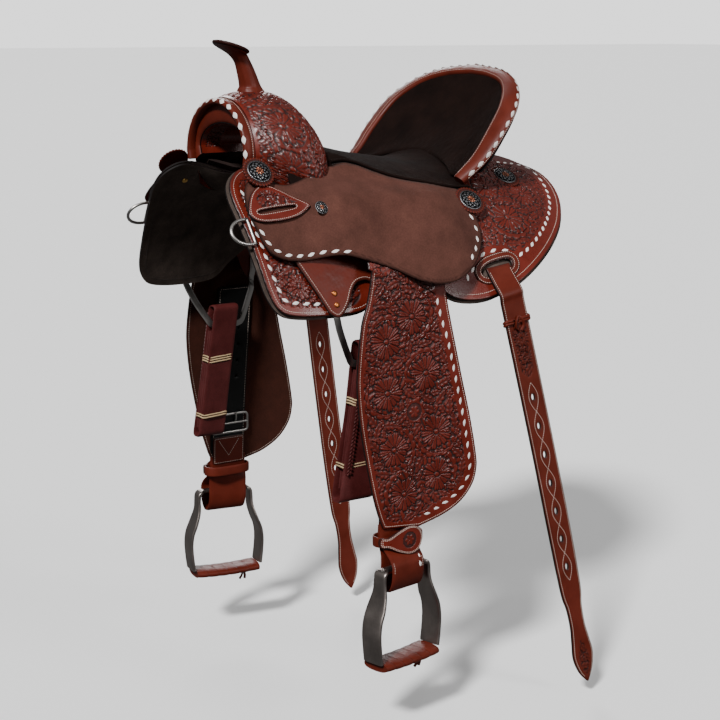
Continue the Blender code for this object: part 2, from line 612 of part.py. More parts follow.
def cantle():
    def sheet(point, depth, span, low=0.02, high=0.97):
        return lambda u, v: point(span * (2 * u - 1), low + (high - low) * v, depth)

    slab("cantle_inlay", sheet(inlay_point, 0.0, 0.90), sheet(inlay_point, INLAY_THICK, 0.90), 16, 6,
         "suede")
    front, rear = TREE_CANTLE_DEPTH
    slab("tree_cantle", sheet(inlay_point, front, 0.80, 0.06, 0.90),
         sheet(inlay_point, rear, 0.80, 0.06, 0.90), 14, 5, "tree")
    slab("cantle_back", sheet(back_point, 0.0, 0.88), sheet(back_point, 0.0035, 0.88), 16, 6, "chestnut")
    rings = []
    for k in range(33):
        f = -1 + 2 * k / 32
        a, b = rim_point(ROLL_IN, f), rim_point(ROLL_OUT, f)
        ahead = rim_point(ROLL_IN, min(f + 0.03, 1)) - rim_point(ROLL_IN, max(f - 0.03, -1))
        half = (b - a) * 0.5
        thick = half.cross(ahead).normalized() * ROLL_THICK
        mid = (a + b) * 0.5
        rings.append([mid + half * c + thick * d for c, d in ROLL_SECTION])
    loft("cantle_binding", rings, "chestnut")


# ---------------------------------------------------------------- fenders, leathers, stirrups
FENDER_FRONT = ((-0.166, 0.040), (-0.173, 0.070), (-0.180, 0.130), (-0.181, 0.172), (-0.174, 0.233),
                (-0.157, 0.315), (-0.145, 0.356), (-0.136, 0.378))
FENDER_REAR = ((-0.070, 0.384), (-0.030, 0.374), (0.004, 0.357), (0.026, 0.333), (0.034, 0.308),
               (0.033, 0.284), (0.022, 0.225), (0.008, 0.165), (-0.006, 0.100), (-0.014, 0.060))


def fender_point(y, q, back):
    """Point of the fender, q metres below its top, back metres behind its outer face."""
    out = FENDER_FLARE * (1 - math.exp(-max(q, 0) / 0.12)) + FENDER_REAR_FLARE * max(0, y + 0.040)
    return Vector((FENDER_TOP_X + out - back, y, FENDER_TOP_Z - q))


def hinge_depth(y):
    """Height of the hinge line at y, as depth below the fender's top."""
    f = (y - LIFT_FRONT[0]) / (LIFT_REAR[0] - LIFT_FRONT[0])
    return FENDER_TOP_Z - (LIFT_FRONT[1] + f * (LIFT_REAR[1] - LIFT_FRONT[1]))


# run of the upper leather: distance down the side, and height over it
LOOP_RUN = ((0.070, 0.0100), (0.090, 0.0130), (0.112, 0.0158), (0.135, 0.0172), (0.158, 0.0180),
            (0.172, 0.0185))


def hanging_leathers(side, tag):
    pivot = flip(SWING_PIVOT, side)
    # upper leather, from the tree bar down to the hinge line under the jockey's edge
    run = [side_point(SWING_PIVOT[1], t, lift) for t, lift in LOOP_RUN]
    width = Vector((0, 1, 0))
    rings = []
    for i, p in enumerate(run):
        along = (run[min(i + 1, len(run) - 1)] - run[max(i - 1, 0)]).normalized()
        out = width.cross(along).normalized() * (LOOP_THICK / 2)
        half = width * (0.018 + 0.002 * i)
        rings.append([flip(p + half * a + out * b, side) for a, b in ((-1, -1), (1, -1), (1, 1), (-1, 1))])
    loft("leather_loop_" + tag, rings, "strap", pivot)
    hinge = flip((FENDER_TOP_X - FENDER_THICK / 2, *LIFT_FRONT), side)
    # fender, its top edge along the hinge line
    top = [(y, hinge_depth(y) + 0.006) for y in (LIFT_REAR[0], LIFT_FRONT[0])]
    outline = smooth_run(FENDER_FRONT, 2) + smooth_run(FENDER_REAR, 2)
    outline += [Vector(p) for p in top]
    panel("fender_" + tag, outline, fender_point, FENDER_THICK, 0.0, "chestnut", side, cell=0.036, pivot=hinge)
    inner_strap(side, tag, hinge)
    hobble(side, tag, hinge)
    buckle(side, tag, hinge)


def strap_middle(q):
    return -0.088 - 0.019 * step01(q / 0.40)


def inner_strap(side, tag, hinge):
    """Stirrup leather behind the fender, ending in the loop that holds the stirrup's neck."""
    low, eye = 0.078, FENDER_TOP_Z - STIRRUP_TOP_Z
    back = FENDER_THICK + GAP
    depths = [low + (0.3720 - low) * k / 6 for k in range(7)] + [eye - 0.048]
    edge_out = [(fender_point(STIRRUP_Y, q, back).x, q) for q in depths]
    edge_in = [(x - STRAP_THICK, q) for x, q in edge_out]
    loop = [Vector(p) for p in edge_in + round_end(eye) + list(reversed(edge_out))]
    turns = (2 * math.pi * k / 10 for k in range(10))
    hole = [Vector((STIRRUP_X + EYE_RADIUS * math.cos(a), eye + EYE_RADIUS * math.sin(a))) for a in turns]

    def place(x, q, edge):
        turn = STIRRUP_TURN * step01((q - eye + 0.046) / 0.030)
        return Vector((x - edge * math.sin(turn), strap_middle(q) + edge * math.cos(turn), FENDER_TOP_Z - q))

    panel("stirrup_leather_" + tag, loop, place, -STRAP_HALF, STRAP_HALF, "strap", side, holes=(hole,),
          cell=0.1, pivot=hinge)


def round_end(eye):
    """Round end of the strap's profile, from its inner edge round to its outer edge."""
    turns = (math.radians(205 - 230 * k / 8) for k in range(9))
    radius = EYE_RADIUS + EYE_WALL
    return [(STIRRUP_X + radius * math.cos(a), eye + radius * math.sin(a)) for a in turns]


HOBBLE_LOOP = (0.0175, 0.0410)       # half its depth and half its width
HOBBLE_SECTION = (0.0160, 0.0032)


def hobble(side, tag, hinge):
    """Strap round the leathers, just above the stirrup's neck."""
    middle = strap_middle(HOBBLE_DEPTH)
    x = fender_point(STIRRUP_Y, HOBBLE_DEPTH, 0).x - 0.0052
    deep, wide = HOBBLE_LOOP
    ring = []
    for k in range(20):
        a = 2 * math.pi * k / 20
        squared = math.copysign(abs(math.sin(a))**0.5, math.sin(a))
        here = (x + deep * math.cos(a), middle + wide * squared, FENDER_TOP_Z - HOBBLE_DEPTH)
        ring.append(flip(here, side))
    tube("hobble_strap_" + tag, ring, 0, "chestnut", closed=True, flat=HOBBLE_SECTION, up=(0, 0, 1),
         pivot=hinge)


BUCKLE_HALF, BUCKLE_BAR = (0.038, 0.018), 0.0045   # half width and half height of the frame, and its bar


def buckle(side, tag, hinge):
    """Flat frame of the quick-change buckle, on the inner face of the leather."""
    q, middle = BUCKLE_DEPTH, strap_middle(BUCKLE_DEPTH)
    x = fender_point(STIRRUP_Y, q, FENDER_THICK + GAP + STRAP_THICK + GAP + 0.0022).x
    corners = ((-1, -1), (1, -1), (1, 1), (-1, 1))
    wide, high = BUCKLE_HALF
    loop = round_corners([(middle + a * wide, q + b * high) for a, b in corners], 0.008, 3)
    wide, high = wide - BUCKLE_BAR, high - BUCKLE_BAR
    hole = round_corners([(middle + a * wide, q + b * high) for a, b in corners], 0.005, 2)

    def place(y, depth, back):
        return Vector((x - back, y, FENDER_TOP_Z - depth))

    panel("leather_buckle_" + tag, loop, place, -0.0018, 0.0018, "steel", side, holes=(hole,), cell=0.1,
          pivot=hinge)


# half of the stirrup's bow, from the neck down to the tread: across, down
BOW = ((0.0370, 0.000), (0.0460, 0.004), (0.0480, 0.014), (0.0490, 0.034), (0.0560, 0.056), (0.0630, 0.074),
       (0.0655, 0.094), (0.0640, 0.118), (0.0615, 0.138))


def stirrup(side, tag):
    """Flat metal bow with a neck bar through the leather, and a wrapped tread."""
    pivot = flip((STIRRUP_X, STIRRUP_Y, STIRRUP_TOP_Z), side)
    turn = Matrix.Rotation(STIRRUP_TURN * side, 3, "Z")

    def place(across, depth, down):
        return pivot + turn @ Vector((depth, across, 0)) + Vector((0, 0, -down))

    half = smooth_run([(a, d, 0) for a, d in BOW], 2)
    loop = [(-p.x, p.y) for p in reversed(half)] + [(p.x, p.y) for p in half]
    width = [0.010 + 0.032 * step01(d / 0.05) for _, d in loop]
    thick = STIRRUP_THICK / 2
    rings = []
    for i, (a, d) in enumerate(loop):
        before, after = loop[max(i - 1, 0)], loop[min(i + 1, len(loop) - 1)]
        along = Vector((after[0] - before[0], after[1] - before[1])).normalized()
        out = Vector((along.y, -along.x))
        w = width[i] / 2
        rings.append([place(a + out.x * t * thick, w * k, d + out.y * t * thick)
                      for k, t in ((-1, -0.4), (-1, 0.4), (-0.8, 1), (0.8, 1), (1, 0.4), (1, -0.4), (0.8, -1),
                                   (-0.8, -1))])
    loft("stirrup_" + tag, rings, "steel", pivot)
    rings = []
    for k in range(9):
        a = -0.0570 + 0.1140 * k / 8
        drop_down = 0.1440 + 0.0030 * math.cos(a / 0.057 * 1.4)
        rings.append([place(a, 0.0240 * math.cos(e), drop_down - 0.0075 * math.sin(e))
                      for e in (2 * math.pi * j / 10 for j in range(10))])
    loft("stirrup_tread_" + tag, rings, "chestnut", pivot)


# ---------------------------------------------------------------- straps and dees
def latigo(side, name):
    """Folded strap over the rigging dee's bottom bar, drawn as the loop it makes."""
    x, z = DEE_ARM[-1][0], DEE_ARM[-1][2]
    half, skew, top, foot = 0.0110, 0.003, LATIGO_TOP, LATIGO_FOOT
    corners = [(skew - half, foot), (skew + half, foot), (half - skew, top), (-half - skew, top)]
    loop = round_corners(corners, 0.0070, 3)
    wide, high = 0.0062, 0.0080
    eye = round_corners([(-wide, -high), (wide, -high), (wide, high), (-wide, high)], 0.004, 2)

    def place(a, b, edge):
        return Vector((x + a, PLATE_MIDDLE + edge + b * math.sin(LATIGO_LEAN), z + b * math.cos(LATIGO_LEAN)))

    panel(name, loop, place, -LATIGO_WIDTH / 2, LATIGO_WIDTH / 2, "burgundy", side, holes=(eye,), cell=0.1,
          pivot=flip((x, PLATE_MIDDLE, z), side))


def breast_dee(side, tag):
    """Half-round wire dee lying out in front of the skirt, hinged at its straight bar."""
    a, b = side_point(-0.3010, 0.094, 0.0036), side_point(-0.2990, 0.133, 0.0036)
    middle = (a + b) / 2
    along = (b - a).normalized()
    forward = Vector((0, -1, 0))
    forward = (forward - forward.dot(along) * along).normalized()
    half = (b - a).length / 2
    ring = [a.lerp(b, k / 4) for k in range(5)]
    for k in range(13):
        turn = math.radians(90 - 180 * k / 12)
        ring.append(middle + forward * (0.006 + 0.027 * math.cos(turn)) + along * half * math.sin(turn))
    ring = [flip(p, side) for p in ring]
    tube("breast_dee_" + tag, ring, DEE_WIRE, "steel", 8, flip(middle, side), closed=True, up=(1, 0, 0.3))


BILLET_TIP_X = {"left": 0.330, "right": 0.266}   # the near billet stands further out


def flank_billet(side, tag):
    """Long strap from the rear skirt's slot, over the skirt's lower edge and down."""
    start = side_point(0.083, 0.196, 0.0050)
    lip = side_point(0.086, 0.238, 0.0090)
    tip = Vector((BILLET_TIP_X[tag], 0.214 if side > 0 else 0.166, -0.776))
    width = Vector((0, 0.983, 0.185))
    path = [start, start.lerp(lip, 0.5), lip + Vector((0.001, 0, 0))]
    path += [lip.lerp(tip, f) + Vector((0.004 * math.sin(math.pi * f), 0, 0)) for f in
             (0.02, 0.06, 0.15, 0.3, 0.45, 0.6, 0.75, 0.80, 0.85, 0.89, 0.93, 0.97, 1.0)]
    halves = [1] * 9 + [0.92, 0.70, 0.66, 0.80, 0.92, 0.62, 0.05]
    rings = []
    for i, p in enumerate(path):
        along = (path[min(i + 1, len(path) - 1)] - path[max(i - 1, 0)]).normalized()
        across = (width - width.dot(along) * along).normalized()
        out = across.cross(along).normalized() * (BILLET_THICK / 2)
        half = across * (BILLET_WIDTH / 2 * halves[i])
        rings.append([flip(p + half * a + out * b, side) for a, b in ((-1, -1), (1, -1), (1, 1), (-1, 1))])
    loft("flank_billet_" + tag, rings, "chestnut", flip(start, side))


def build():
    for thing in list(bpy.data.objects):
        bpy.data.objects.remove(thing, do_unlink=True)
    fork()
    horn()
    seat()
    cantle()
    for side, tag in ((1, "left"), (-1, "right")):
        tree_bars(side, tag)
        skirts(side, tag)
        jockey(side, tag)
        rigging(side, tag)
        trim(side, tag)
        hanging_leathers(side, tag)
        stirrup(side, tag)
        breast_dee(side, tag)
        flank_billet(side, tag)
    latigo(1, "latigo_left")
    latigo(-1, "off_billet_right")


build()
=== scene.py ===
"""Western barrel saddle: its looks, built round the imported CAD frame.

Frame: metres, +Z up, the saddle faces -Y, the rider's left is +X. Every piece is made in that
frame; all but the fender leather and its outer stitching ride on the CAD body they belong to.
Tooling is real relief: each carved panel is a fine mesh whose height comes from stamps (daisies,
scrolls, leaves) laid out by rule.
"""
import math

import bpy
import numpy as np
from mathutils import Matrix, Vector
from mathutils.geometry import delaunay_2d_cdt


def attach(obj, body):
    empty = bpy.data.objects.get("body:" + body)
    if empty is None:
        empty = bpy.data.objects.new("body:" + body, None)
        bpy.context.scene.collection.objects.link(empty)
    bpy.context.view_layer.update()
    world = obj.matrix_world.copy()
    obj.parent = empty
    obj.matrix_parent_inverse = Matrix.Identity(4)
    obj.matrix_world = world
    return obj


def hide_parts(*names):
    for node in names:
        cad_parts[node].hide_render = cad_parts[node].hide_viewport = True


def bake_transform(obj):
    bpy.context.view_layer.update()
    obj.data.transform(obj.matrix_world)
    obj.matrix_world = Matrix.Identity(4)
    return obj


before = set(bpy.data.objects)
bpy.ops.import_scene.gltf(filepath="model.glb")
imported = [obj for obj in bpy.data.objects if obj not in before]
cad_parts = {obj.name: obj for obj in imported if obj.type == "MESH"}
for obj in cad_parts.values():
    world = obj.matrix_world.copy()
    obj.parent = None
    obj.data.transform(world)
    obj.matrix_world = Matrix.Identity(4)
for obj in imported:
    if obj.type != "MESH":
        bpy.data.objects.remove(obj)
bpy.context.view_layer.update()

FINE = 1.0      # coarser meshes while trying things
BOTH = ((1, "left"), (-1, "right"))

# ---------------------------------------------------------------- shapes shared with the CAD part
GAP = 0.0004
SKIRT_THICK, LINING_GAP, LINING_THICK = 0.0040, 0.0023, 0.0045
PLATE_LOW, PLATE_THICK, PLATE_TUCK = 0.0046, 0.0030, 0.0120
JOCKEY_LOW, JOCKEY_THICK, JOCKEY_BULGE = 0.0098, 0.0035, 0.0240
JOCKEY_TOP = JOCKEY_LOW + JOCKEY_THICK
KEEPER_LOW, KEEPER_THICK = JOCKEY_TOP + GAP + 0.0014, 0.0038
CONCHO_RADIUS, SCREW_RADIUS, ROSETTE_THICK = 0.0190, 0.0105, 0.0034
FENDER_THICK, STRAP_THICK = 0.0040, 0.0055
FENDER_TOP_X, FENDER_FLARE, FENDER_REAR_FLARE, FENDER_TOP_Z = 0.2460, 0.0110, 0.10, -0.105
LIFT_FRONT, LIFT_REAR = (-0.1630, -0.0860), (-0.0260, -0.1290)
STIRRUP_X, STIRRUP_Y, STIRRUP_TOP_Z, STIRRUP_TURN = 0.2640, -0.1070, -0.5410, math.radians(10)
HORN_LEAN, CAP_TILT = math.radians(17.5), math.radians(18.5)
BILLET_WIDTH, BILLET_HALF_THICK, HOLE_PITCH = 0.0440, 0.0021, 0.0470
LATIGO_WIDTH, LATIGO_LEAN = 0.0460, math.radians(8)

SIDE = ((-0.34, 0.083, 0.055, 40, 70), (-0.20, 0.100, 0.050, 42, 100), (0.0, 0.115, 0.035, 48, 110),
        (0.15, 0.110, 0.030, 56, 90), (0.33, 0.068, 0.019, 62, 80))
DROP = ((-0.34, 0.0), (-0.27, 0.006), (-0.20, 0.036), (0.0, 0.040), (0.12, 0.036), (0.20, 0.018),
        (0.27, 0.004), (0.34, 0.0))
SEAM = ((-0.16, 0.008), (-0.106, -0.002), (-0.05, 0.021), (0.0, 0.038), (0.04, 0.050), (0.09, 0.052))
SEAT_LINE = ((-0.16, 0.088), (-0.06, 0.063), (0.0, 0.053), (0.06, 0.046), (0.10, 0.050), (0.14, 0.070))
SKIRT_FRONT = ((-0.262, -0.002), (-0.286, 0.009), (-0.303, 0.029), (-0.309, 0.055), (-0.307, 0.088),
               (-0.303, 0.127), (-0.300, 0.166), (-0.296, 0.206))
SKIRT_FRONT_FOOT = ((-0.287, 0.230), (-0.266, 0.241), (-0.215, 0.243), (-0.150, 0.236), (-0.118, 0.205))
SKIRT_REAR = ((-0.034, 0.188), (-0.019, 0.209), (0.000, 0.225), (0.022, 0.233), (0.049, 0.236),
              (0.073, 0.233), (0.114, 0.222), (0.163, 0.198), (0.214, 0.166), (0.258, 0.130),
              (0.292, 0.087), (0.308, 0.044), (0.304, 0.010), (0.280, -0.012))
JOCKEY = ((-0.300, 0.075), (-0.297, 0.108), (-0.289, 0.144), (-0.270, 0.160), (-0.243, 0.164),
          (-0.194, 0.162), (-0.157, 0.171), (-0.112, 0.186), (-0.076, 0.203), (-0.044, 0.211),
          (-0.010, 0.209), (0.027, 0.190), (0.055, 0.163), (0.070, 0.133), (0.073, 0.105))
SLOT = ((0.056, 0.194), (0.072, 0.184), (0.104, 0.182), (0.110, 0.190), (0.100, 0.200), (0.064, 0.204))
PLATE_MIDDLE, PLATE_TIP = -0.131, 0.066
PLATE_HALF = ((0.000, 0.196), (0.012, 0.193), (0.026, 0.197), (0.036, 0.208), (0.045, 0.226),
              (0.056, 0.241), (0.066, 0.247), (0.077, 0.242), (0.085, 0.229))
DEE_LIFT, DEE_UNDER_PLATE = 0.0019, (0.205, 0.226, 0.238, 0.2475)
DEE_ARM = ((0.2200, 0.0590, -0.182), (0.2150, 0.0480, -0.204), (0.2080, 0.0350, -0.226),
           (0.2060, 0.0290, -0.2350), (0.2050, 0.0210, -0.2380))
KEEPER = ((-0.287, 0.058), (-0.259, 0.048), (-0.213, 0.078), (-0.214, 0.090), (-0.242, 0.102),
          (-0.287, 0.106), (-0.303, 0.092))
KEEPER_SLOT = ((-0.284, 0.088), (-0.234, 0.081), (-0.233, 0.085), (-0.283, 0.093))
FORK = ((-0.250, 0.148, 0.090, 0.046), (-0.225, 0.155, 0.112, 0.034), (-0.195, 0.157, 0.131, 0.022),
        (-0.170, 0.150, 0.138, 0.020), (-0.152, 0.131, 0.132, 0.026), (-0.143, 0.110, 0.118, 0.036))
ROLL_IN = ((0.148, 0.074, 0.022), (0.150, 0.106, 0.050), (0.149, 0.134, 0.085), (0.138, 0.172, 0.130),
           (0.104, 0.202, 0.160), (0.054, 0.215, 0.173), (0.0, 0.219, 0.177))
ROLL_OUT = ((0.166, 0.080, 0.014), (0.178, 0.116, 0.048), (0.181, 0.146, 0.085), (0.172, 0.180, 0.126),
            (0.140, 0.209, 0.157), (0.086, 0.229, 0.178), (0.0, 0.240, 0.187))
FENDER_FRONT = ((-0.1465, -0.0286), (-0.1485, -0.0120), (-0.1530, 0.0100), (-0.1610, 0.0400),
                (-0.1715, 0.0700), (-0.180, 0.130), (-0.181, 0.172), (-0.174, 0.233), (-0.157, 0.315),
                (-0.145, 0.356), (-0.136, 0.378))
FENDER_REAR = ((-0.070, 0.384), (-0.030, 0.374), (0.004, 0.357), (0.026, 0.333), (0.034, 0.308),
               (0.033, 0.284), (0.022, 0.225), (0.008, 0.165), (-0.006, 0.100), (-0.014, 0.060))
BOW = ((0.0370, 0.000), (0.0460, 0.004), (0.0480, 0.014), (0.0490, 0.034), (0.0560, 0.056), (0.0630, 0.074),
       (0.0655, 0.094), (0.0640, 0.118), (0.0615, 0.138))
BILLET_TIP = {"left": (0.330, 0.214, -0.776), "right": (0.266, 0.166, -0.776)}
UNDER_CELL = 0.006      # triangles on the plain underside of a panel

# Outlines of the carved fields, and each field's flowers as (along, down, size).
FRONT_FIELD = ((-0.262, 0.010), (-0.286, 0.026), (-0.296, 0.060), (-0.292, 0.120), (-0.288, 0.166),
               (-0.284, 0.206), (-0.274, 0.226), (-0.215, 0.230), (-0.155, 0.224), (-0.150, 0.150),
               (-0.150, 0.020), (-0.225, 0.006))
FRONT_FLOWERS = ((-0.245, 0.198, 0.0215), (-0.276, 0.180, 0.008))
REAR_FIELD = ((0.110, -0.028), (0.160, -0.034), (0.206, -0.024), (0.258, 0.000), (0.276, 0.030),
              (0.264, 0.072), (0.241, 0.102), (0.208, 0.130), (0.176, 0.152), (0.142, 0.170), (0.122, 0.172),
              (0.108, 0.160), (0.080, 0.156), (0.052, 0.164), (0.020, 0.176), (0.030, 0.120), (0.040, 0.050),
              (0.078, 0.000))
REAR_FLOWERS = ((0.144, 0.110, 0.0300), (0.208, 0.066, 0.0285), (0.138, 0.044, 0.0265), (0.080, 0.128, 0.021))
FENDER_FIELD = ((-0.138, -0.026), (-0.151, 0.040), (-0.1615, 0.070), (-0.170, 0.130), (-0.171, 0.172),
                (-0.164, 0.231), (-0.147, 0.312), (-0.137, 0.348), (-0.124, 0.368), (-0.078, 0.371),
                (-0.038, 0.353), (-0.011, 0.340), (0.006, 0.323), (0.013, 0.305), (0.012, 0.287),
                (0.003, 0.229), (-0.011, 0.170), (-0.025, 0.105), (-0.036, 0.060), (-0.044, 0.004),
                (-0.100, -0.016))
FENDER_FLOWERS = ((-0.0816, 0.063, 0.0285), (-0.1290, 0.096, 0.0285), (-0.0575, 0.150, 0.0285),
                  (-0.1280, 0.173, 0.0285), (-0.0385, 0.242, 0.0285), (-0.1165, 0.260, 0.0280),
                  (-0.0370, 0.308, 0.0275), (-0.0980, 0.330, 0.0275))


# ---------------------------------------------------------------- small tools on arrays
def through(value, stations, column=1):
    """Smooth curve through stations, for arrays."""
    places = np.array([s[0] for s in stations], float)
    heights = np.array([s[column] for s in stations], float)
    value = np.clip(value, places[0], places[-1])
    i = np.clip(np.searchsorted(places, value) - 1, 0, len(places) - 2)
    k = np.arange(len(places))
    a, b = np.maximum(k - 1, 0), np.minimum(k + 1, len(places) - 1)
    slope = (heights[b] - heights[a]) / (places[b] - places[a])
    span = places[i + 1] - places[i]
    f = (value - places[i]) / span
    h00, h10 = 2 * f**3 - 3 * f**2 + 1, f**3 - 2 * f**2 + f
    h01, h11 = 3 * f**2 - 2 * f**3, f**3 - f**2
    return h00 * heights[i] + h10 * span * slope[i] + h01 * heights[i + 1] + h11 * span * slope[i + 1]


def spaced(rows):
    """The rows as stations spread evenly from 0 to 1."""
    return [(i / (len(rows) - 1), *row) for i, row in enumerate(rows)]


def step01(x):
    x = np.clip(x, 0.0, 1.0)
    return x * x * (3 - 2 * x)


def circle(sides):
    """Angles spread evenly round a circle."""
    return 2 * math.pi * np.arange(sides) / sides


def blunt(wave, power):
    """A sine or cosine flattened toward its ends, which squares a circle's corners."""
    return np.copysign(np.abs(wave)**power, wave)


def box(half, low, high):
    return np.array(((-half, low), (half, low), (half, high), (-half, high)))


def oval_hole(x, y, wide, long, sides):
    turn = circle(sides)
    return np.stack([x + wide * np.cos(turn), y + long * np.sin(turn)], -1)


def unit(a):
    return a / np.maximum(np.linalg.norm(a, axis=-1, keepdims=True), 1e-12)


def stack(x, y, z):
    return np.stack(np.broadcast_arrays(x, y, z), -1).astype(float)


def side_point(y, t, lift):
    """Point t metres down the side at station y, standing lift off the surface."""
    x0, z0 = through(y, SIDE, 1), through(y, SIDE, 2)
    a, k = np.radians(through(y, SIDE, 3)), np.radians(through(y, SIDE, 4))
    turn = a - k * t
    x = x0 + (np.cos(turn) - np.cos(a)) / k
    z = z0 - (np.sin(a) - np.sin(turn)) / k
    return stack(x + lift * np.cos(turn), y, z + lift * np.sin(turn))


def under(y, t, lift):
    """The front skirt's surface: it drops near the top, to pass under the jockey."""
    return side_point(y, t, lift - through(y, DROP) * step01((0.105 - t) / 0.115))


def under_rear(y, t, lift):
    """The rear skirt as seen: it rises over the bars' ends to meet the cantle."""
    fall = 1 - step01((y - 0.02) / 0.06)
    return side_point(y, t, lift - fall * through(y, DROP) * step01((0.105 - t) / 0.115))


def over(y, t, lift):
    """The jockey's surface: it bulges over the stirrup leathers."""
    along = step01((y + 0.235) / 0.07) * step01((0.085 - y) / 0.09)
    return side_point(y, t, lift + JOCKEY_BULGE * along * step01((t - 0.022) / 0.062))


def plate_point(y, t, lift):
    """The rigging plate's surface: its lower rear corner is tucked in."""
    return side_point(y, t, lift - PLATE_TUCK * step01((y + 0.118) / 0.050) * step01((t - 0.184) / 0.050))


def fender_point(y, q, back):
    """Point q metres down the hanging fender, this far behind its face."""
    out = FENDER_FLARE * (1 - np.exp(-np.maximum(q, 0) / 0.12)) + FENDER_REAR_FLARE * np.maximum(0, y + 0.040)
    return stack(FENDER_TOP_X + out - back, y, FENDER_TOP_Z - q)


def curve(points, per=8, closed=False):
    """Catmull-Rom curve through the points, in any number of dimensions."""
    p = np.array(points, float)
    n = len(p)
    if closed:
        a, b, c, d = np.roll(p, 1, 0), p, np.roll(p, -1, 0), np.roll(p, -2, 0)
    else:
        q = np.vstack([2 * p[0] - p[1], p, 2 * p[-1] - p[-2]])
        a, b, c, d = q[:n - 1], q[1:n], q[2:n + 1], q[3:n + 2]
    rows = [0.5 * (2 * b + (c - a) * f + (2 * a - 5 * b + 4 * c - d) * f * f + (3 * b - a - 3 * c + d) * f**3)
            for f in np.arange(per) / per]
    result = np.stack(rows, 1).reshape(-1, p.shape[1])
    return result if closed else np.vstack([result, p[-1:]])


def resample(points, spacing, closed=True):
    """The same line with points at one even spacing."""
    p = np.array(points, float)
    if closed:
        p = np.vstack([p, p[:1]])
    run = np.concatenate([[0], np.cumsum(np.linalg.norm(np.diff(p, axis=0), axis=1))])
    count = max(int(round(run[-1] / spacing)), 4)
    places = np.linspace(0, run[-1], count + 1)
    if closed:
        places = places[:-1]
    return np.stack([np.interp(places, run, p[:, k]) for k in range(p.shape[1])], -1)


def round_corners(points, radius, steps=5):
    """Closed outline with each corner rounded."""
    points = [np.array(p, float) for p in points]
    result = []
    for i, here in enumerate(points):
        before, after = points[i - 1], points[(i + 1) % len(points)]
        r = min(radius, 0.45 * np.linalg.norm(before - here), 0.45 * np.linalg.norm(after - here))
        a, b = here + unit(before - here) * r, here + unit(after - here) * r
        result += [(1 - f)**2 * a + 2 * f * (1 - f) * here + f * f * b for f in np.linspace(0, 1, steps + 1)]
    return np.array(result)


def inside(points, ring):
    """Which points lie inside a closed line."""
    hit = np.zeros(len(points), bool)
    x, y = points[:, 0], points[:, 1]
    for a, b in zip(np.roll(ring, 1, 0), ring):
        if a[1] != b[1]:
            cross = (a[1] > y) != (b[1] > y)
            hit ^= cross & (x < (b[0] - a[0]) * (y - a[1]) / (b[1] - a[1]) + a[0])
    return hit


def distance(points, ring):
    """Distance from each point to a closed line of points."""
    best = np.full(len(points), np.inf)
    for a, b in zip(ring, np.roll(ring, -1, 0)):
        d = b - a
        f = np.clip(((points - a) @ d) / max(d @ d, 1e-16), 0, 1)
        best = np.minimum(best, np.hypot(points[:, 0] - a[0] - f * d[0], points[:, 1] - a[1] - f * d[1]))
    return best


def inset(ring, depth):
    """Closed outline moved inwards, without its folds."""
    ring = resample(ring, 0.002)
    along = unit(np.roll(ring, -1, 0) - np.roll(ring, 1, 0))
    normal = np.stack([-along[:, 1], along[:, 0]], -1)
    if not inside(ring[:1] + normal[:1] * 1e-4, ring)[0]:
        normal = -normal
    moved = ring + normal * depth
    return moved[distance(moved, ring) > abs(depth) * 0.97]


def noise(points, scale, seed=0):
    """Smooth repeatable noise from a few waves in turned directions."""
    total = np.zeros(len(points))
    for k in range(5):
        turn = 1.3 * k + seed
        wave = 2 * math.pi / scale * (1 + 0.37 * k)
        across = points[:, 0] * math.cos(turn) + points[:, 1] * math.sin(turn)
        other = points[:, 1] * math.cos(turn * 1.7) - points[:, 0] * math.sin(turn * 1.7)
        total += np.sin(across * wave + 2.1 * k + 1.5 * np.sin(other * wave * 0.6 + seed))
    return total / 5


# ---------------------------------------------------------------- materials
def node(tree, kind, **values):
    made = tree.nodes.new(kind)
    for key, value in values.items():
        if key in made.inputs:
            made.inputs[key].default_value = value
        else:
            setattr(made, key, value)
    return made


def ramp(tree, source, low, high, at=(0.0, 1.0)):
    made = tree.nodes.new("ShaderNodeMapRange")
    made.inputs["From Min"].default_value, made.inputs["From Max"].default_value = at
    made.inputs["To Min"].default_value, made.inputs["To Max"].default_value = low, high
    tree.links.new(source, made.inputs["Value"])
    return made.outputs["Result"]


def mix(tree, factor, a, b, blend="MIX"):
    made = tree.nodes.new("ShaderNodeMix")
    made.data_type = "RGBA"
    made.blend_type = blend
    for socket, value in ((made.inputs[0], factor), (made.inputs[6], a), (made.inputs[7], b)):
        if isinstance(value, bpy.types.NodeSocket):
            tree.links.new(value, socket)
        elif isinstance(value, (int, float)):
            socket.default_value = value
        else:
            socket.default_value = (*value, 1)
    return made.outputs[2]


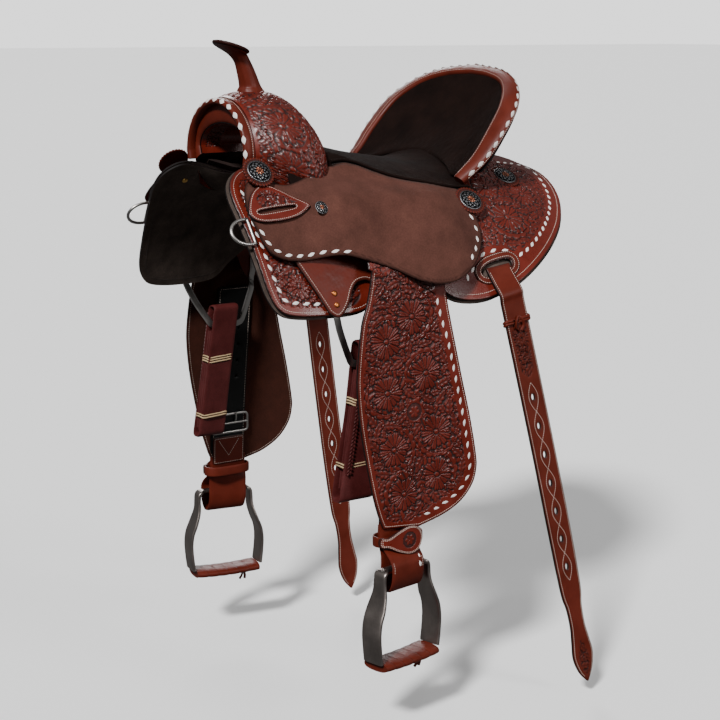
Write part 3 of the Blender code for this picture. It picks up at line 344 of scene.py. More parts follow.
def finish(name, colour, rough=0.5, dark=None, vary=0.18, grain=900, bump=0.25, metal=0.0,
           sheen=0.0, streak=None, edge=None, cloud=28, rough_vary=0.12, specular=0.28):
    """Material with colour clouds, fine grain, dark recesses (attribute low: painted shade on leather, oxide
    on silver and copper) and burnished rims.
    """
    made = bpy.data.materials.new(name)
    made.use_nodes = True
    tree = made.node_tree
    shader = tree.nodes["Principled BSDF"]
    place = tree.nodes.new("ShaderNodeTexCoord").outputs["Object"]
    if streak:
        mapping = node(tree, "ShaderNodeMapping")
        mapping.inputs["Scale"].default_value = streak
        tree.links.new(place, mapping.inputs["Vector"])
        fine_place = mapping.outputs["Vector"]
    else:
        fine_place = place
    clouds = node(tree, "ShaderNodeTexNoise", Scale=cloud, Detail=5.0, Roughness=0.6)
    tree.links.new(place, clouds.inputs["Vector"])
    fine = node(tree, "ShaderNodeTexNoise", Scale=grain, Detail=3.0, Roughness=0.65)
    tree.links.new(fine_place, fine.inputs["Vector"])
    shade = ramp(tree, clouds.outputs["Fac"], 1 - vary, 1 + vary, (0.3, 0.7))
    base = mix(tree, 1.0, colour, shade, "MULTIPLY")
    speck = ramp(tree, fine.outputs["Fac"], 1 - 0.6 * vary, 1 + 0.6 * vary, (0.3, 0.7))
    base = mix(tree, 1.0, base, speck, "MULTIPLY")
    low = node(tree, "ShaderNodeAttribute", attribute_name="low").outputs["Fac"]
    rim = node(tree, "ShaderNodeAttribute", attribute_name="rim").outputs["Fac"]
    # Attribute low mixes in the dark colour: painted shade in the leather's recesses, oxide in the metals'
    # hollows.
    if dark:
        base = mix(tree, low, base, dark)
    if edge:
        base = mix(tree, rim, base, edge)
    tree.links.new(base, shader.inputs["Base Color"])
    shine = ramp(tree, clouds.outputs["Fac"], rough - rough_vary, rough + rough_vary, (0.3, 0.7))
    if dark:
        add = tree.nodes.new("ShaderNodeMath")
        add.operation = "MULTIPLY_ADD"
        tree.links.new(low, add.inputs[0])
        add.inputs[1].default_value = 0.25
        tree.links.new(shine, add.inputs[2])
        shine = add.outputs[0]
    tree.links.new(shine, shader.inputs["Roughness"])
    shader.inputs["Metallic"].default_value = metal
    shader.inputs["Specular IOR Level"].default_value = 0.5 if metal else specular
    shader.inputs["Sheen Weight"].default_value = sheen
    shader.inputs["Sheen Roughness"].default_value = 0.45
    shader.inputs["Sheen Tint"].default_value = (*[min(1, c * 2.5 + 0.1) for c in colour], 1)
    raised = node(tree, "ShaderNodeBump", Strength=bump, Distance=0.0006)
    tree.links.new(fine.outputs["Fac"], raised.inputs["Height"])
    tree.links.new(raised.outputs["Normal"], shader.inputs["Normal"])
    made.diffuse_color = (*colour, 1)
    return made


# Painted shade: the colour that leather darkens to in its carved recesses.
PAINTED_RECESS_SHADE = (0.0060, 0.0022, 0.0020)
BURNISH = (0.0060, 0.0035, 0.0035)
# Each leather's dark colour, given after its roughness, is painted shade laid on where the attribute low
# marks a recess; for silver and copper it is oxide in the hollows.
M = {
    "tooled": finish("tooled_leather", (0.108, 0.0096, 0.0040), 0.32, PAINTED_RECESS_SHADE, 0.22, 1500, 0.12,
                     edge=(0.022, 0.005, 0.003), specular=0.42),
    "smooth": finish("smooth_leather", (0.088, 0.0112, 0.0050), 0.44, PAINTED_RECESS_SHADE, 0.20, 1300, 0.20,
                     edge=(0.020, 0.005, 0.003), specular=0.20),
    "edge": finish("burnished_edge", BURNISH, 0.42, None, 0.3, 500, 0.3),
    "dark": finish("dark_leather", (0.022, 0.0046, 0.0030), 0.45, PAINTED_RECESS_SHADE, 0.2, 1200, 0.2, specular=0.12),
    "roughout": finish("roughout_leather", (0.074, 0.0290, 0.0215), 0.95, (0.015, 0.006, 0.004), 0.26, 420,
                       0.9, sheen=0.03, edge=(0.020, 0.008, 0.006), cloud=20, rough_vary=0.03, specular=0.1),
    "inner": finish("fender_inner_leather", (0.040, 0.0115, 0.0070), 0.92, None, 0.20, 500, 0.8, sheen=0.02,
                    cloud=40, rough_vary=0.04, specular=0.12),
    "suede": finish("seat_suede", (0.0074, 0.0034, 0.0026), 0.97, None, 0.40, 600, 0.9, sheen=0.015, cloud=22,
                    rough_vary=0.02, specular=0.08),
    "felt": finish("skirt_felt", (0.066, 0.049, 0.041), 0.97, None, 0.40, 650, 0.8, sheen=0.008, cloud=30,
                   rough_vary=0.02, specular=0.08),
    "black": finish("black_strap_leather", (0.0026, 0.0024, 0.0024), 0.50, (0.001, 0.001, 0.001), 0.2, 1100,
                    0.25, specular=0.25),
    "latigo": finish("latigo_leather", (0.062, 0.0100, 0.0095), 0.46, (0.006, 0.002, 0.002), 0.24, 420, 0.5,
                     edge=(0.014, 0.004, 0.004)),
    "steel": finish("steel_hardware", (0.42, 0.40, 0.38), 0.34, None, 0.12, 260, 0.12, metal=1.0,
                    streak=(1, 1, 8), rough_vary=0.08),
    "stirrup": finish("brushed_stirrup_metal", (0.30, 0.26, 0.24), 0.36, (0.05, 0.045, 0.04), 0.12, 160, 0.2,
                      metal=1.0, streak=(6, 6, 0.6), rough_vary=0.08),
    "silver": finish("antique_silver", (0.30, 0.30, 0.31), 0.28, (0.004, 0.004, 0.005), 0.15, 900, 0.1,
                     metal=1.0),
    "copper": finish("copper", (0.34, 0.13, 0.08), 0.32, (0.03, 0.012, 0.010), 0.15, 800, 0.1, metal=1.0),
    "rivet": finish("copper_rivet", (0.50, 0.17, 0.05), 0.32, None, 0.15, 700, 0.1, metal=1.0),
    "brass": finish("brass_screw", (0.50, 0.30, 0.09), 0.25, None, 0.12, 700, 0.1, metal=1.0),
    "thread": finish("stitching_thread", (0.46, 0.37, 0.32), 0.7, None, 0.15, 2500, 0.3),
    "grey_thread": finish("grey_thread", (0.040, 0.034, 0.032), 0.8, None, 0.15, 2500, 0.3),
    "lace": finish("white_lacing", (0.74, 0.70, 0.67), 0.55, (0.30, 0.24, 0.20), 0.08, 1200, 0.25),
    "twine": finish("waxed_twine", (0.42, 0.30, 0.17), 0.7, None, 0.2, 1800, 0.4),
    # Near-black on the tree and ground seat: painted shadow where they show through gaps between the
    # leathers.
    "ground": finish("covered_tree", (0.016, 0.0075, 0.0060), 0.85, None, 0.3, 500, 0.4),
}


# ---------------------------------------------------------------- making meshes
def put(name, points, faces, looks, face_looks=None, body="saddle", low=None, rim=None, sharp=50, cad=()):
    """Closed mesh from arrays, facing out, riding on its body and standing for the CAD nodes named."""
    points = np.asarray(points, float)
    faces = outward(points - points.mean(0), faces)
    mesh = bpy.data.meshes.new(name)
    mesh.from_pydata(points.tolist(), [], [list(map(int, f)) for f in faces])
    for look in looks:
        mesh.materials.append(M[look])
    if face_looks is not None:
        mesh.polygons.foreach_set("material_index", np.asarray(face_looks, np.int32))
    for key, values in (("low", low), ("rim", rim)):
        if values is not None:
            layer = mesh.attributes.new(key, "FLOAT", "POINT")
            layer.data.foreach_set("value", np.asarray(values, np.float32))
    mesh.shade_smooth()
    mesh.set_sharp_from_angle(angle=math.radians(sharp))
    mesh.update()
    piece = bpy.data.objects.new(name, mesh)
    bpy.context.scene.collection.objects.link(piece)
    if cad:
        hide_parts(*cad)
    if body:
        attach(piece, body)
    return piece


def flip(points, side):
    points = np.array(points, float)
    points[..., 0] *= side
    return points


def fill(rings, cell):
    """Triangles filling an outline with holes: points, triangles, and where each ring's points went."""
    lowest, highest = rings[0].min(0), rings[0].max(0)
    xs = np.arange(math.floor(lowest[0] / cell), math.ceil(highest[0] / cell) + 1)
    ys = np.arange(math.floor(lowest[1] / cell) - 1, math.ceil(highest[1] / cell) + 2)
    gx, gy = np.meshgrid(xs, ys, indexing="ij")
    grid = np.stack([gx * cell, (gy - 0.5 * (gx % 2)) * cell], -1).reshape(-1, 2)
    grid = grid[inside(grid, rings[0])]
    for ring in rings[1:]:
        grid = grid[~inside(grid, ring)]
    for ring in rings:
        grid = grid[distance(grid, ring) > 0.55 * min(cell, 0.003)]
    points = np.vstack([*rings, grid])
    edges, start = [], 0
    for ring in rings:
        edges += [(start + i, start + (i + 1) % len(ring)) for i in range(len(ring))]
        start += len(ring)
    out = delaunay_2d_cdt([Vector(p) for p in points.tolist()], edges, [], 1, 1e-9)
    flat = np.array([tuple(p) for p in out[0]])
    tris = np.array([t for t in out[2] if len(t) == 3])
    middle = flat[tris].mean(1)
    keep = inside(middle, rings[0])
    for ring in rings[1:]:
        keep &= ~inside(middle, ring)
    went = {o: i for i, origins in enumerate(out[3]) for o in origins}
    return flat, tris[keep], [[went[i] for i in range(s, s + len(r))] for s, r in
                              zip(np.cumsum([0] + [len(r) for r in rings[:-1]]), rings)]


def sheet_looks(top, edge="edge", under=None):
    return top, edge, under or top


def panel(name, outline, place, low, high, looks, cell=0.0016, relief=None, holes=(), body="saddle",
          cad="", bevel=0.0013, rim=0.0022, sides=BOTH):
    """Leather panels, each one closed mesh: carved top, rounded rim, edge and plain underside."""
    cell *= FINE
    rings = [resample(outline, max(cell, 0.0012)), *(resample(h, max(cell * 0.7, 0.0009)) for h in holes)]
    flat, tris, top_at = fill(rings, cell)
    base, base_tris, base_at = fill(rings, max(UNDER_CELL, cell))
    away = np.min([distance(flat, r) for r in rings], 0)
    round_off = np.clip(1 - away / bevel, 0, 1)
    lift = high - 0.75 * bevel * (1 - np.sqrt(np.maximum(1 - round_off**2, 0)))
    shade = np.zeros(len(flat))
    if relief:
        rise, shade = relief(flat, away)
        lift = lift + rise
    used = {(t[i], t[(i + 1) % 3]) for t in tris.tolist() for i in range(3)}
    burnt = np.concatenate([np.clip(1 - away / rim, 0, 1)**0.7, np.zeros(len(base))])
    lows = np.concatenate([shade, np.zeros(len(base))])
    start = len(flat)
    kinds = [0] * len(tris) + [2] * len(base_tris)
    faces = tris.tolist() + (base_tris[:, ::-1] + start).tolist()
    for a_ring, b_ring in zip(top_at, base_at):
        for k in range(len(a_ring)):
            a, b = a_ring[k], a_ring[(k + 1) % len(a_ring)]
            c, d = b_ring[k] + start, b_ring[(k + 1) % len(b_ring)] + start
            faces.append((b, a, c, d) if (a, b) in used else (a, b, d, c))
            kinds.append(1)
    made = []
    for side, tag in sides:
        top = flip(place(flat[:, 0], flat[:, 1], lift), side)
        bottom = flip(place(base[:, 0], base[:, 1], np.full(len(base), low)), side)
        points = np.vstack([top, bottom])
        made.append(put(name + "_" + tag, points, faces, sheet_looks(*looks), kinds,
                        body + tag if body.endswith("_") else body, lows, burnt,
                        cad=(cad + "_" + tag,) if cad else ()))
    return made


def grid_faces(nu, nv, start=0, wrap_u=False, wrap_v=False):
    i, j = np.meshgrid(np.arange(nu if wrap_u else nu - 1), np.arange(nv if wrap_v else nv - 1),
                       indexing="ij")
    a, b = i * nv + j, ((i + 1) % nu) * nv + j
    c, d = ((i + 1) % nu) * nv + (j + 1) % nv, i * nv + (j + 1) % nv
    return (np.stack([a, b, c, d], -1).reshape(-1, 4) + start).tolist()


def skin(nu, nv):
    """Faces of a tube of nu rings of nv points, closed at both ends."""
    return grid_faces(nu, nv, 0, False, True) + [tuple(range(nv))[::-1], tuple(range((nu - 1) * nv, nu * nv))]


def sheet_faces(nu, nv):
    """Faces of a thin closed sheet: its top grid, its bottom grid, and the wall round them."""
    n = nu * nv
    loop = [i * nv for i in range(nu)] + [(nu - 1) * nv + j for j in range(1, nv)]
    loop += [i * nv + nv - 1 for i in range(nu - 2, -1, -1)] + list(range(nv - 2, 0, -1))
    wall = [(b, a, a + n, b + n) for a, b in zip(loop, loop[1:] + loop[:1])]
    return grid_faces(nu, nv), turned_over(grid_faces(nu, nv, n)), wall


def turned_over(faces):
    return [tuple(reversed(f)) for f in faces]


def outward(points, faces):
    """Faces wound so that the closed mesh's volume is positive."""
    tris = np.array([(f[0], f[k], f[k + 1]) for f in faces for k in range(1, len(f) - 1)])
    volume = np.sum(points[tris[:, 0]] * np.cross(points[tris[:, 1]], points[tris[:, 2]]))
    return faces if volume > 0 else turned_over(faces)


def slab(name, upper, lower, nu, nv, looks, relief=None, cad=()):
    """Closed sheet between two surfaces over the unit square, its upper side carved."""
    nu, nv = int(nu / FINE), int(nv / FINE)
    u, v = np.meshgrid(np.linspace(0, 1, nu), np.linspace(0, 1, nv), indexing="ij")
    u, v = u.ravel(), v.ravel()
    top, bottom = upper(u, v), lower(u, v)
    shade = np.zeros(len(u))
    if relief:
        rise, shade = relief(u, v)
        top = top + unit(top - bottom) * rise[:, None]
    faces, back, wall = sheet_faces(nu, nv)
    kinds = [0] * len(faces) + [2] * len(back) + [1] * len(wall)
    return put(name, np.vstack([top, bottom]), faces + back + wall, sheet_looks(*looks), kinds,
               low=np.concatenate([shade, np.zeros(nu * nv)]), cad=cad)


def tube_mesh(path, radius, sides=10, closed=False, flat=None, up=None, power=2.0):
    """Points and faces of a tube along a path; flat gives a rounded strip's thickness and width."""
    p = np.array(path, float)
    n = len(p)
    if closed:
        along = unit(np.roll(p, -1, 0) - np.roll(p, 1, 0))
    else:
        along = unit(np.vstack([p[1:2] - p[:1], p[2:] - p[:-2], p[-1:] - p[-2:-1]]))
    if up is None:
        x = np.cross(along[0], (0.3, 0.5, 0.8))
        frames = []
        for a in along:
            x = x - a * np.dot(x, a)
            x = x / np.linalg.norm(x)
            frames.append(x)
        x = np.array(frames)
    else:
        up = np.broadcast_to(np.array(up, float), p.shape)
        x = unit(up - along * np.sum(up * along, 1, keepdims=True))
    y = np.cross(along, x)
    turn = circle(sides)
    c, s = np.cos(turn), np.sin(turn)
    if flat:
        c, s = (np.sign(w) * np.abs(w)**(2 / power) for w in (c, s))
        wide_x, wide_y = np.broadcast_to(flat[0] / 2, n), np.broadcast_to(flat[1] / 2, n)
    else:
        wide_x = wide_y = np.broadcast_to(radius, n)
    ring = p[:, None] + x[:, None] * (c[None, :] * wide_x[:, None])[..., None] \
        + y[:, None] * (s[None, :] * wide_y[:, None])[..., None]
    points = ring.reshape(-1, 3)
    faces = grid_faces(n, sides, 0, True, True) if closed else skin(n, sides)
    return points, outward(points - points.mean(0), faces)


def join(parts):
    """Several (points, faces) as one."""
    points, faces, start = [], [], 0
    for p, f in parts:
        points.append(p)
        faces += [tuple(k + start for k in face) for face in f]
        start += len(p)
    return np.vstack(points), faces


def tube(name, path, radius, look, sides=10, side=1, closed=False, flat=None, up=None, body="saddle", cad=(),
         power=2.0):
    points, faces = tube_mesh(path, radius, sides, closed, flat, up, power)
    return put(name, flip(points, side), faces, (look,), None, body, cad=cad, sharp=40)


def disc(centre, axis, height, rings=26, spokes=96, base=0.0):
    """Round relief: height(r, a) gives (radius, rise, low) for r from 0 to 1 and angle a."""
    centre, axis = np.array(centre, float), unit(np.array(axis, float))
    x = unit(np.cross(axis, (0.1, 1.0, 0.2)))
    y = np.cross(axis, x)
    r, a = np.meshgrid(np.linspace(0, 1, rings + 1)[1:], circle(spokes), indexing="ij")
    radius, rise, low = height(r.ravel(), a.ravel())
    a = a.ravel()
    points = centre + x * (radius * np.cos(a))[:, None] + y * (radius * np.sin(a))[:, None]
    points = points + axis * rise[:, None]
    _, top, low_top = height(np.array([0.0]), np.array([0.0]))
    edge = points[-spokes:]
    foot = edge - axis * ((edge - centre) @ axis - base)[:, None]
    points = np.vstack([points, centre + axis * top[0], foot, centre + axis * base])
    n = rings * spokes
    faces = grid_faces(rings, spokes, 0, False, True)
    faces += [(n, (k + 1) % spokes, k) for k in range(spokes)]
    faces += [((n - spokes) + k, (n - spokes) + (k + 1) % spokes, n + 1 + (k + 1) % spokes, n + 1 + k)
              for k in range(spokes)]
    faces += [(n + 1 + spokes, n + 1 + k, n + 1 + (k + 1) % spokes) for k in range(spokes)]
    fixed = turned_over(faces[:(rings - 1) * spokes]) + faces[(rings - 1) * spokes:]
    lows = np.concatenate([low, low_top, np.zeros(spokes + 1)])
    return points, outward(points - centre, fixed), lows


# ---------------------------------------------------------------- tooling
DEEP = 0.0015      # how far the background is stamped down
MOAT, CLEAR = -8.0, -9.0      # cut outline round a stamp, and nothing there
SMALLEST_LEAF, MOST_LEAVES = 0.0030, 420
LOBES = 7      # cut in a scroll's outer side


def daisy(x, y, size, turn, petals=14):
    """Carved daisy with split petals: height above the leather's face."""
    r, a = np.hypot(x, y), np.arctan2(y, x) - turn
    k = a * petals / (2 * math.pi)
    s = 2 * np.abs(k - np.floor(k) - 0.5)
    index = np.floor(k).astype(int) % petals
    long = size * (1 - 0.13 * ((index * 5) % 3 == 0) - 0.06 * ((index * 3) % 4 == 1))
    tip = long * (1 - 0.20 * s**2 - 0.07 * np.clip(1 - s / 0.3, 0, 1))
    f = r / tip
    petal = 0.0007 - 0.0021 * s**3 - 0.0006 * (1 - step01((f - 0.16) / 0.4)) \
        - 0.0011 * np.exp(-(s / 0.24)**2) * step01((f - 0.30) / 0.25) - 0.0006 * step01((f - 0.90) / 0.10)
    heart = r / (0.13 * size)
    dome = 0.0004 + 0.0004 * np.sqrt(np.maximum(1 - heart**2, 0))
    height = np.where(heart < 1, dome, np.where(heart < 1.45, -0.0010, petal))
    return np.where(f < 1, height, np.where(f < 1.09, MOAT, CLEAR))


def leaf(x, y, length, width, turn, bend):
    """Carved leaf from its root along turn, curling by bend, with a vein and cut sides."""
    a = (x * math.cos(turn) + y * math.sin(turn)) / length
    b = (-x * math.sin(turn) + y * math.cos(turn)) - bend * length * a * a
    f = np.clip(a, 0, 1)
    half = width * np.sin(math.pi * f**0.75)**0.75 * (1 - 0.22 * np.abs(np.sin(f * 3.5 * math.pi)))
    s = np.abs(b) / np.maximum(half, 1e-6)
    height = 0.0005 - 0.0010 * s**3 - 0.0010 * np.exp(-(b / (0.20 * width))**2) * (f < 0.85)
    height -= 0.0007 * (0.5 + 0.5 * np.cos(2 * math.pi * (f * 3.6 - s * 0.8)))**3 * (s > 0.25)
    return np.where((a > 0) & (a < 1) & (s < 1), height,
                    np.where((a > -0.06) & (a < 1.06) & (s < 1.22), MOAT, CLEAR))


def scroll(x, y, size, turn, sweep):
    """Long curling leaf round a centre: a band whose outer side is cut into lobes."""
    r, a = np.hypot(x, y), np.mod(np.sign(sweep) * (np.arctan2(y, x) - turn), 2 * math.pi)
    u = a / abs(sweep)
    middle = size * (1.17 + 0.17 * u)
    half = size * 0.125 * np.sin(math.pi * np.clip(u, 0, 1)**0.8)**0.55
    out = r - middle
    half = np.where(out > 0, half * (0.8 + 0.7 * np.abs(np.sin(LOBES * math.pi * u))), half)
    s = np.abs(out) / np.maximum(half, 1e-6)
    height = 0.0005 - 0.0009 * s**3 - 0.0008 * np.exp(-((out + 0.25 * half) / (0.22 * half + 1e-6))**2)
    height -= 0.0008 * (out > 0) * np.abs(np.cos(LOBES * math.pi * u))**6
    return np.where((u < 1) & (s < 1), height, np.where((u < 1) & (s < 1.25), MOAT, CLEAR))


class Carving:
    """Stamps laid out over a panel: the flowers given, scrolls round them, leaves in what is left."""

    def __init__(self, ring, flowers, seed=0, rings=1.0, petals=14, extra=()):
        self.ring, self.flowers = ring, flowers
        self.stamps = [("daisy", x, y, size, 0.37 * i + seed, petals)
                       for i, (x, y, size) in enumerate(flowers)]
        self.stamps += list(extra)
        circles = [(x, y, size * 1.02) for x, y, size in flowers]
        circles += [(e[1], e[2], e[3] * 1.05) for e in extra]
        lowest, highest = ring.min(0), ring.max(0)
        step = 0.0016
        gx, gy = np.meshgrid(np.arange(lowest[0], highest[0], step), np.arange(lowest[1], highest[1], step))
        spots = np.stack([gx.ravel(), gy.ravel()], -1)
        spots = spots[inside(spots, ring)]
        free = distance(spots, ring)
        for i, (x, y, size) in enumerate(flowers):
            if rings:
                way = 1 if i % 2 else -1
                start, sweep = 1.1 + 1.9 * i + seed, way * 2.7 * rings
                self.stamps.append(("scroll", x, y, size, start, sweep))
                for k in range(12):
                    angle = start + sweep * (k + 0.5) / 12
                    middle = size * (1.17 + 0.17 * (k + 0.5) / 12)
                    circles.append((x + middle * math.cos(angle), y + middle * math.sin(angle), size * 0.135))
        for x, y, radius in circles:
            free = np.minimum(free, np.hypot(spots[:, 0] - x, spots[:, 1] - y) - radius)
        for count in range(MOST_LEAVES):
            best = int(np.argmax(free))
            if free[best] < SMALLEST_LEAF:
                break
            x, y = spots[best]
            room = min(free[best] * 1.25, 0.0100)
            turn = self.flow(x, y, flowers) + 0.5 * math.sin(count * 2.4)
            length, width = room * 2.7, room * 0.80
            bend = 0.22 * (1 if count % 2 else -1)
            root = np.array((x, y)) - 0.5 * length * np.array((math.cos(turn), math.sin(turn)))
            self.stamps.append(("leaf", root[0], root[1], length, width, turn, bend))
            for f in (0.22, 0.5, 0.78):
                cx = root[0] + f * length * math.cos(turn) - bend * length * f * f * math.sin(turn)
                cy = root[1] + f * length * math.sin(turn) + bend * length * f * f * math.cos(turn)
                free = np.minimum(free, np.hypot(spots[:, 0] - cx, spots[:, 1] - cy) - width * 0.86)

    @staticmethod
    def flow(x, y, flowers):
        """Direction that leaves run in: round the nearest flower."""
        reach = [math.hypot(x - a, y - b) - s for a, b, s in flowers]
        i = int(np.argmin(reach))
        return math.atan2(y - flowers[i][1], x - flowers[i][0]) + (1.15 if i % 2 else -1.15)

    def __call__(self, spots):
        """Rise at each point, and darkness that paints shade into the cut-down parts."""
        away = distance(spots, self.ring) * np.where(inside(spots, self.ring), 1, -1)
        mask = step01(away / 0.0009 + 0.3)
        height = self.swirls(spots)
        taken = np.zeros(len(spots), bool)
        for kind, x, y, size, *rest in self.stamps:
            reach = size * (1.7 if kind != "medallion" else 1.1)
            near = (np.abs(spots[:, 0] - x) < reach) & (np.abs(spots[:, 1] - y) < reach) & (mask > 0) & ~taken
            if near.any():
                made = STAMPS[kind](spots[near, 0] - x, spots[near, 1] - y, size, *rest)
                height[near] = np.where(made > CLEAR, np.maximum(made, -DEEP), height[near])
                taken[near] = made > CLEAR
        # Painted shade: the lower the point lies, the darker it is.
        low = np.clip((0.0001 - height) / 0.0011, 0, 1)**0.8
        return height * mask, low * mask

    def swirls(self, spots):
        """Ground between the stamps: curling cuts that run round the nearest flower."""
        gaps = np.array([np.hypot(spots[:, 0] - x, spots[:, 1] - y) - size for x, y, size in self.flowers])
        turns = np.array([np.arctan2(spots[:, 1] - y, spots[:, 0] - x) for x, y, size in self.flowers])
        nearest = np.argmin(gaps, 0)
        gap, turn = gaps[nearest, np.arange(len(spots))], turns[nearest, np.arange(len(spots))]
        way = np.where(nearest % 2, 1, -1)
        wave = np.abs(np.cos(9 * turn + way * (190 * gap - 2600 * np.maximum(gap, 0)**2)))
        return -DEEP + 0.0020 * wave**0.7


def medallion(x, y, size):
    """Plain round stamp: a rope edge round a six-petalled flower."""
    r, a = np.hypot(x, y) / size, np.arctan2(y, x)
    rope = 0.0003 - 0.0004 * np.abs(np.sin(13 * a + 9 * r))
    petal = r < 0.55 * (0.6 + 0.4 * np.abs(np.cos(3 * a)))
    field = -0.0006 + 0.0008 * petal * (1 - 0.6 * np.abs(np.sin(3 * a))**8)
    height = np.where(r > 0.82, rope, np.where(r > 0.74, -0.0009, field))
    return np.where(r < 1, height, CLEAR)


STAMPS = {"daisy": daisy, "leaf": leaf, "scroll": scroll, "medallion": medallion}


# ---------------------------------------------------------------- stitches and lacing
def frames_along(place, line, lift, side):
    """Points of a line on a surface, with the direction out of the surface at each."""
    p = flip(place(line[:, 0], line[:, 1], np.full(len(line), lift)), side)
    q = flip(place(line[:, 0], line[:, 1], np.full(len(line), lift + 0.001)), side)
    return p, unit(q - p)


def bead_row(points, outs, spacing, length, width, height, closed=False, slant=0.0, pointed=1.0):
    """A row of small domed leaves (lacing) or grains (stitches) along a line."""
    loop = np.vstack([points, points[:1]]) if closed else points
    outs = np.vstack([outs, outs[:1]]) if closed else outs
    run = np.concatenate([[0], np.cumsum(np.linalg.norm(np.diff(loop, axis=0), axis=1))])
    count = int(run[-1] / spacing)
    if count < 1:
        return None
    spacing = run[-1] / count
    places = (np.arange(count) + 0.5) * spacing
    at = np.stack([np.interp(places, run, loop[:, k]) for k in range(3)], -1)
    ahead = np.stack([np.interp(places + 0.0006, run, loop[:, k]) for k in range(3)], -1)
    behind = np.stack([np.interp(places - 0.0006, run, loop[:, k]) for k in range(3)], -1)
    out = unit(np.stack([np.interp(places, run, outs[:, k]) for k in range(3)], -1))
    along = unit(ahead - behind)
    across = unit(np.cross(out, along))
    along, across = (along * math.cos(slant) + across * math.sin(slant),
                     across * math.cos(slant) - along * math.sin(slant))
    nu, nv = (7, 6) if width > 0.0015 else (5, 5)
    u, v = np.meshgrid(np.linspace(0, 1, nu), np.arange(nv) / nv * 2 * math.pi, indexing="ij")
    u, v = u.ravel(), v.ravel()
    w = np.maximum(np.sin(math.pi * u), 0.02)**pointed
    x, y, z = (u - 0.5) * length, 0.5 * width * w * np.cos(v), height * w**0.6 * (np.sin(v) * 0.5 + 0.15)
    points = at[:, None] + along[:, None] * x[None, :, None] + across[:, None] * y[None, :, None] \
        + out[:, None] * z[None, :, None]
    one, size = outward(points[0] - at[0], skin(nu, nv)), nu * nv
    return points.reshape(-1, 3), [tuple(i + k * size for i in f) for k in range(count) for f in one]


LACE_SLANT = 0.30      # how far each lace leans across its line, in radians
LACE_ENDS = (0.0018, 0.0046)      # thickness and width of a leather lace's loose ends
THREAD = (0.00115, 0.00085)      # width and height of a stitch


def stitches(place, line, lift, side=1, closed=False, spacing=0.0034):
    """A row of thread stitches along a line on a surface."""
    p, out = frames_along(place, resample(line, 0.002, closed), lift, side)
    return bead_row(p, out, spacing, spacing * 0.76, *THREAD, closed, 0.0, 0.5)


def lacing(place, line, lift, side=1, spacing=0.0165, length=0.0120, width=0.0050):
    """A row of slanting leather laces along a line on a surface."""
    p, out = frames_along(place, resample(line, 0.002, False), lift, side)
    return bead_row(p, out, spacing, length, width, 0.0012, False, LACE_SLANT * side, 0.95)


def rows(name, parts, look, body="saddle"):
    """One piece from several rows of stitches or laces."""
    points, faces = join([p for p in parts if p])
    return put(name, points, faces, (look,), None, body, sharp=60)


def together(name, parts, look, body, side=1, cad=()):
    """One smooth piece from several tubes, made on the left and mirrored for the right."""
    points, faces = join(parts)
    put(name, flip(points, side), faces, (look,), None, body, cad=cad)


def part_of(line, keep):
    """The stretch of a closed line whose points pass the test, in order."""
    good = np.array([keep(*p) for p in line])
    if good.all():
        return line
    first = next(i for i in range(len(line)) if good[i] and not good[i - 1])
    turned = np.roll(np.arange(len(line)), -first)
    result = []
    for i in turned:
        if not good[i]:
            break
        result.append(line[i])
    return np.array(result)


# ---------------------------------------------------------------- skirts, jockey, rigging
def loop_of(points):
    """Smooth closed outline through the points."""
    return curve(points, 8, True)


def carved(carving):
    """A panel's relief is the carving alone, whatever the distance from its rim."""
    return lambda spots, away: carving(spots)


def spots_of(u, v, half, long):
    """Where a sheet's (u, v) lies on the flat leather: across from its middle, and along."""
    return np.stack([(2 * u - 1) * half, v * long], -1)


def carved_sheet(carving, half, long):
    return lambda u, v: carving(spots_of(u, v, half, long))


def plain(scale=0.0004, size=0.02):
    """Slight unevenness of worked leather."""
    def relief(spots, away):
        return scale * noise(spots, size), np.zeros(len(spots))
    return relief


def stud(here, out, side, radius, dome, fall, spokes):
    """The domed head of a screw or rivet."""
    points, faces, _ = disc(flip(here, side), flip(out, side),
                            lambda r, a: (radius * r, dome * np.sqrt(1 - fall * r**2), 0 * r), 8, spokes,
                            -0.001)
    return points, faces


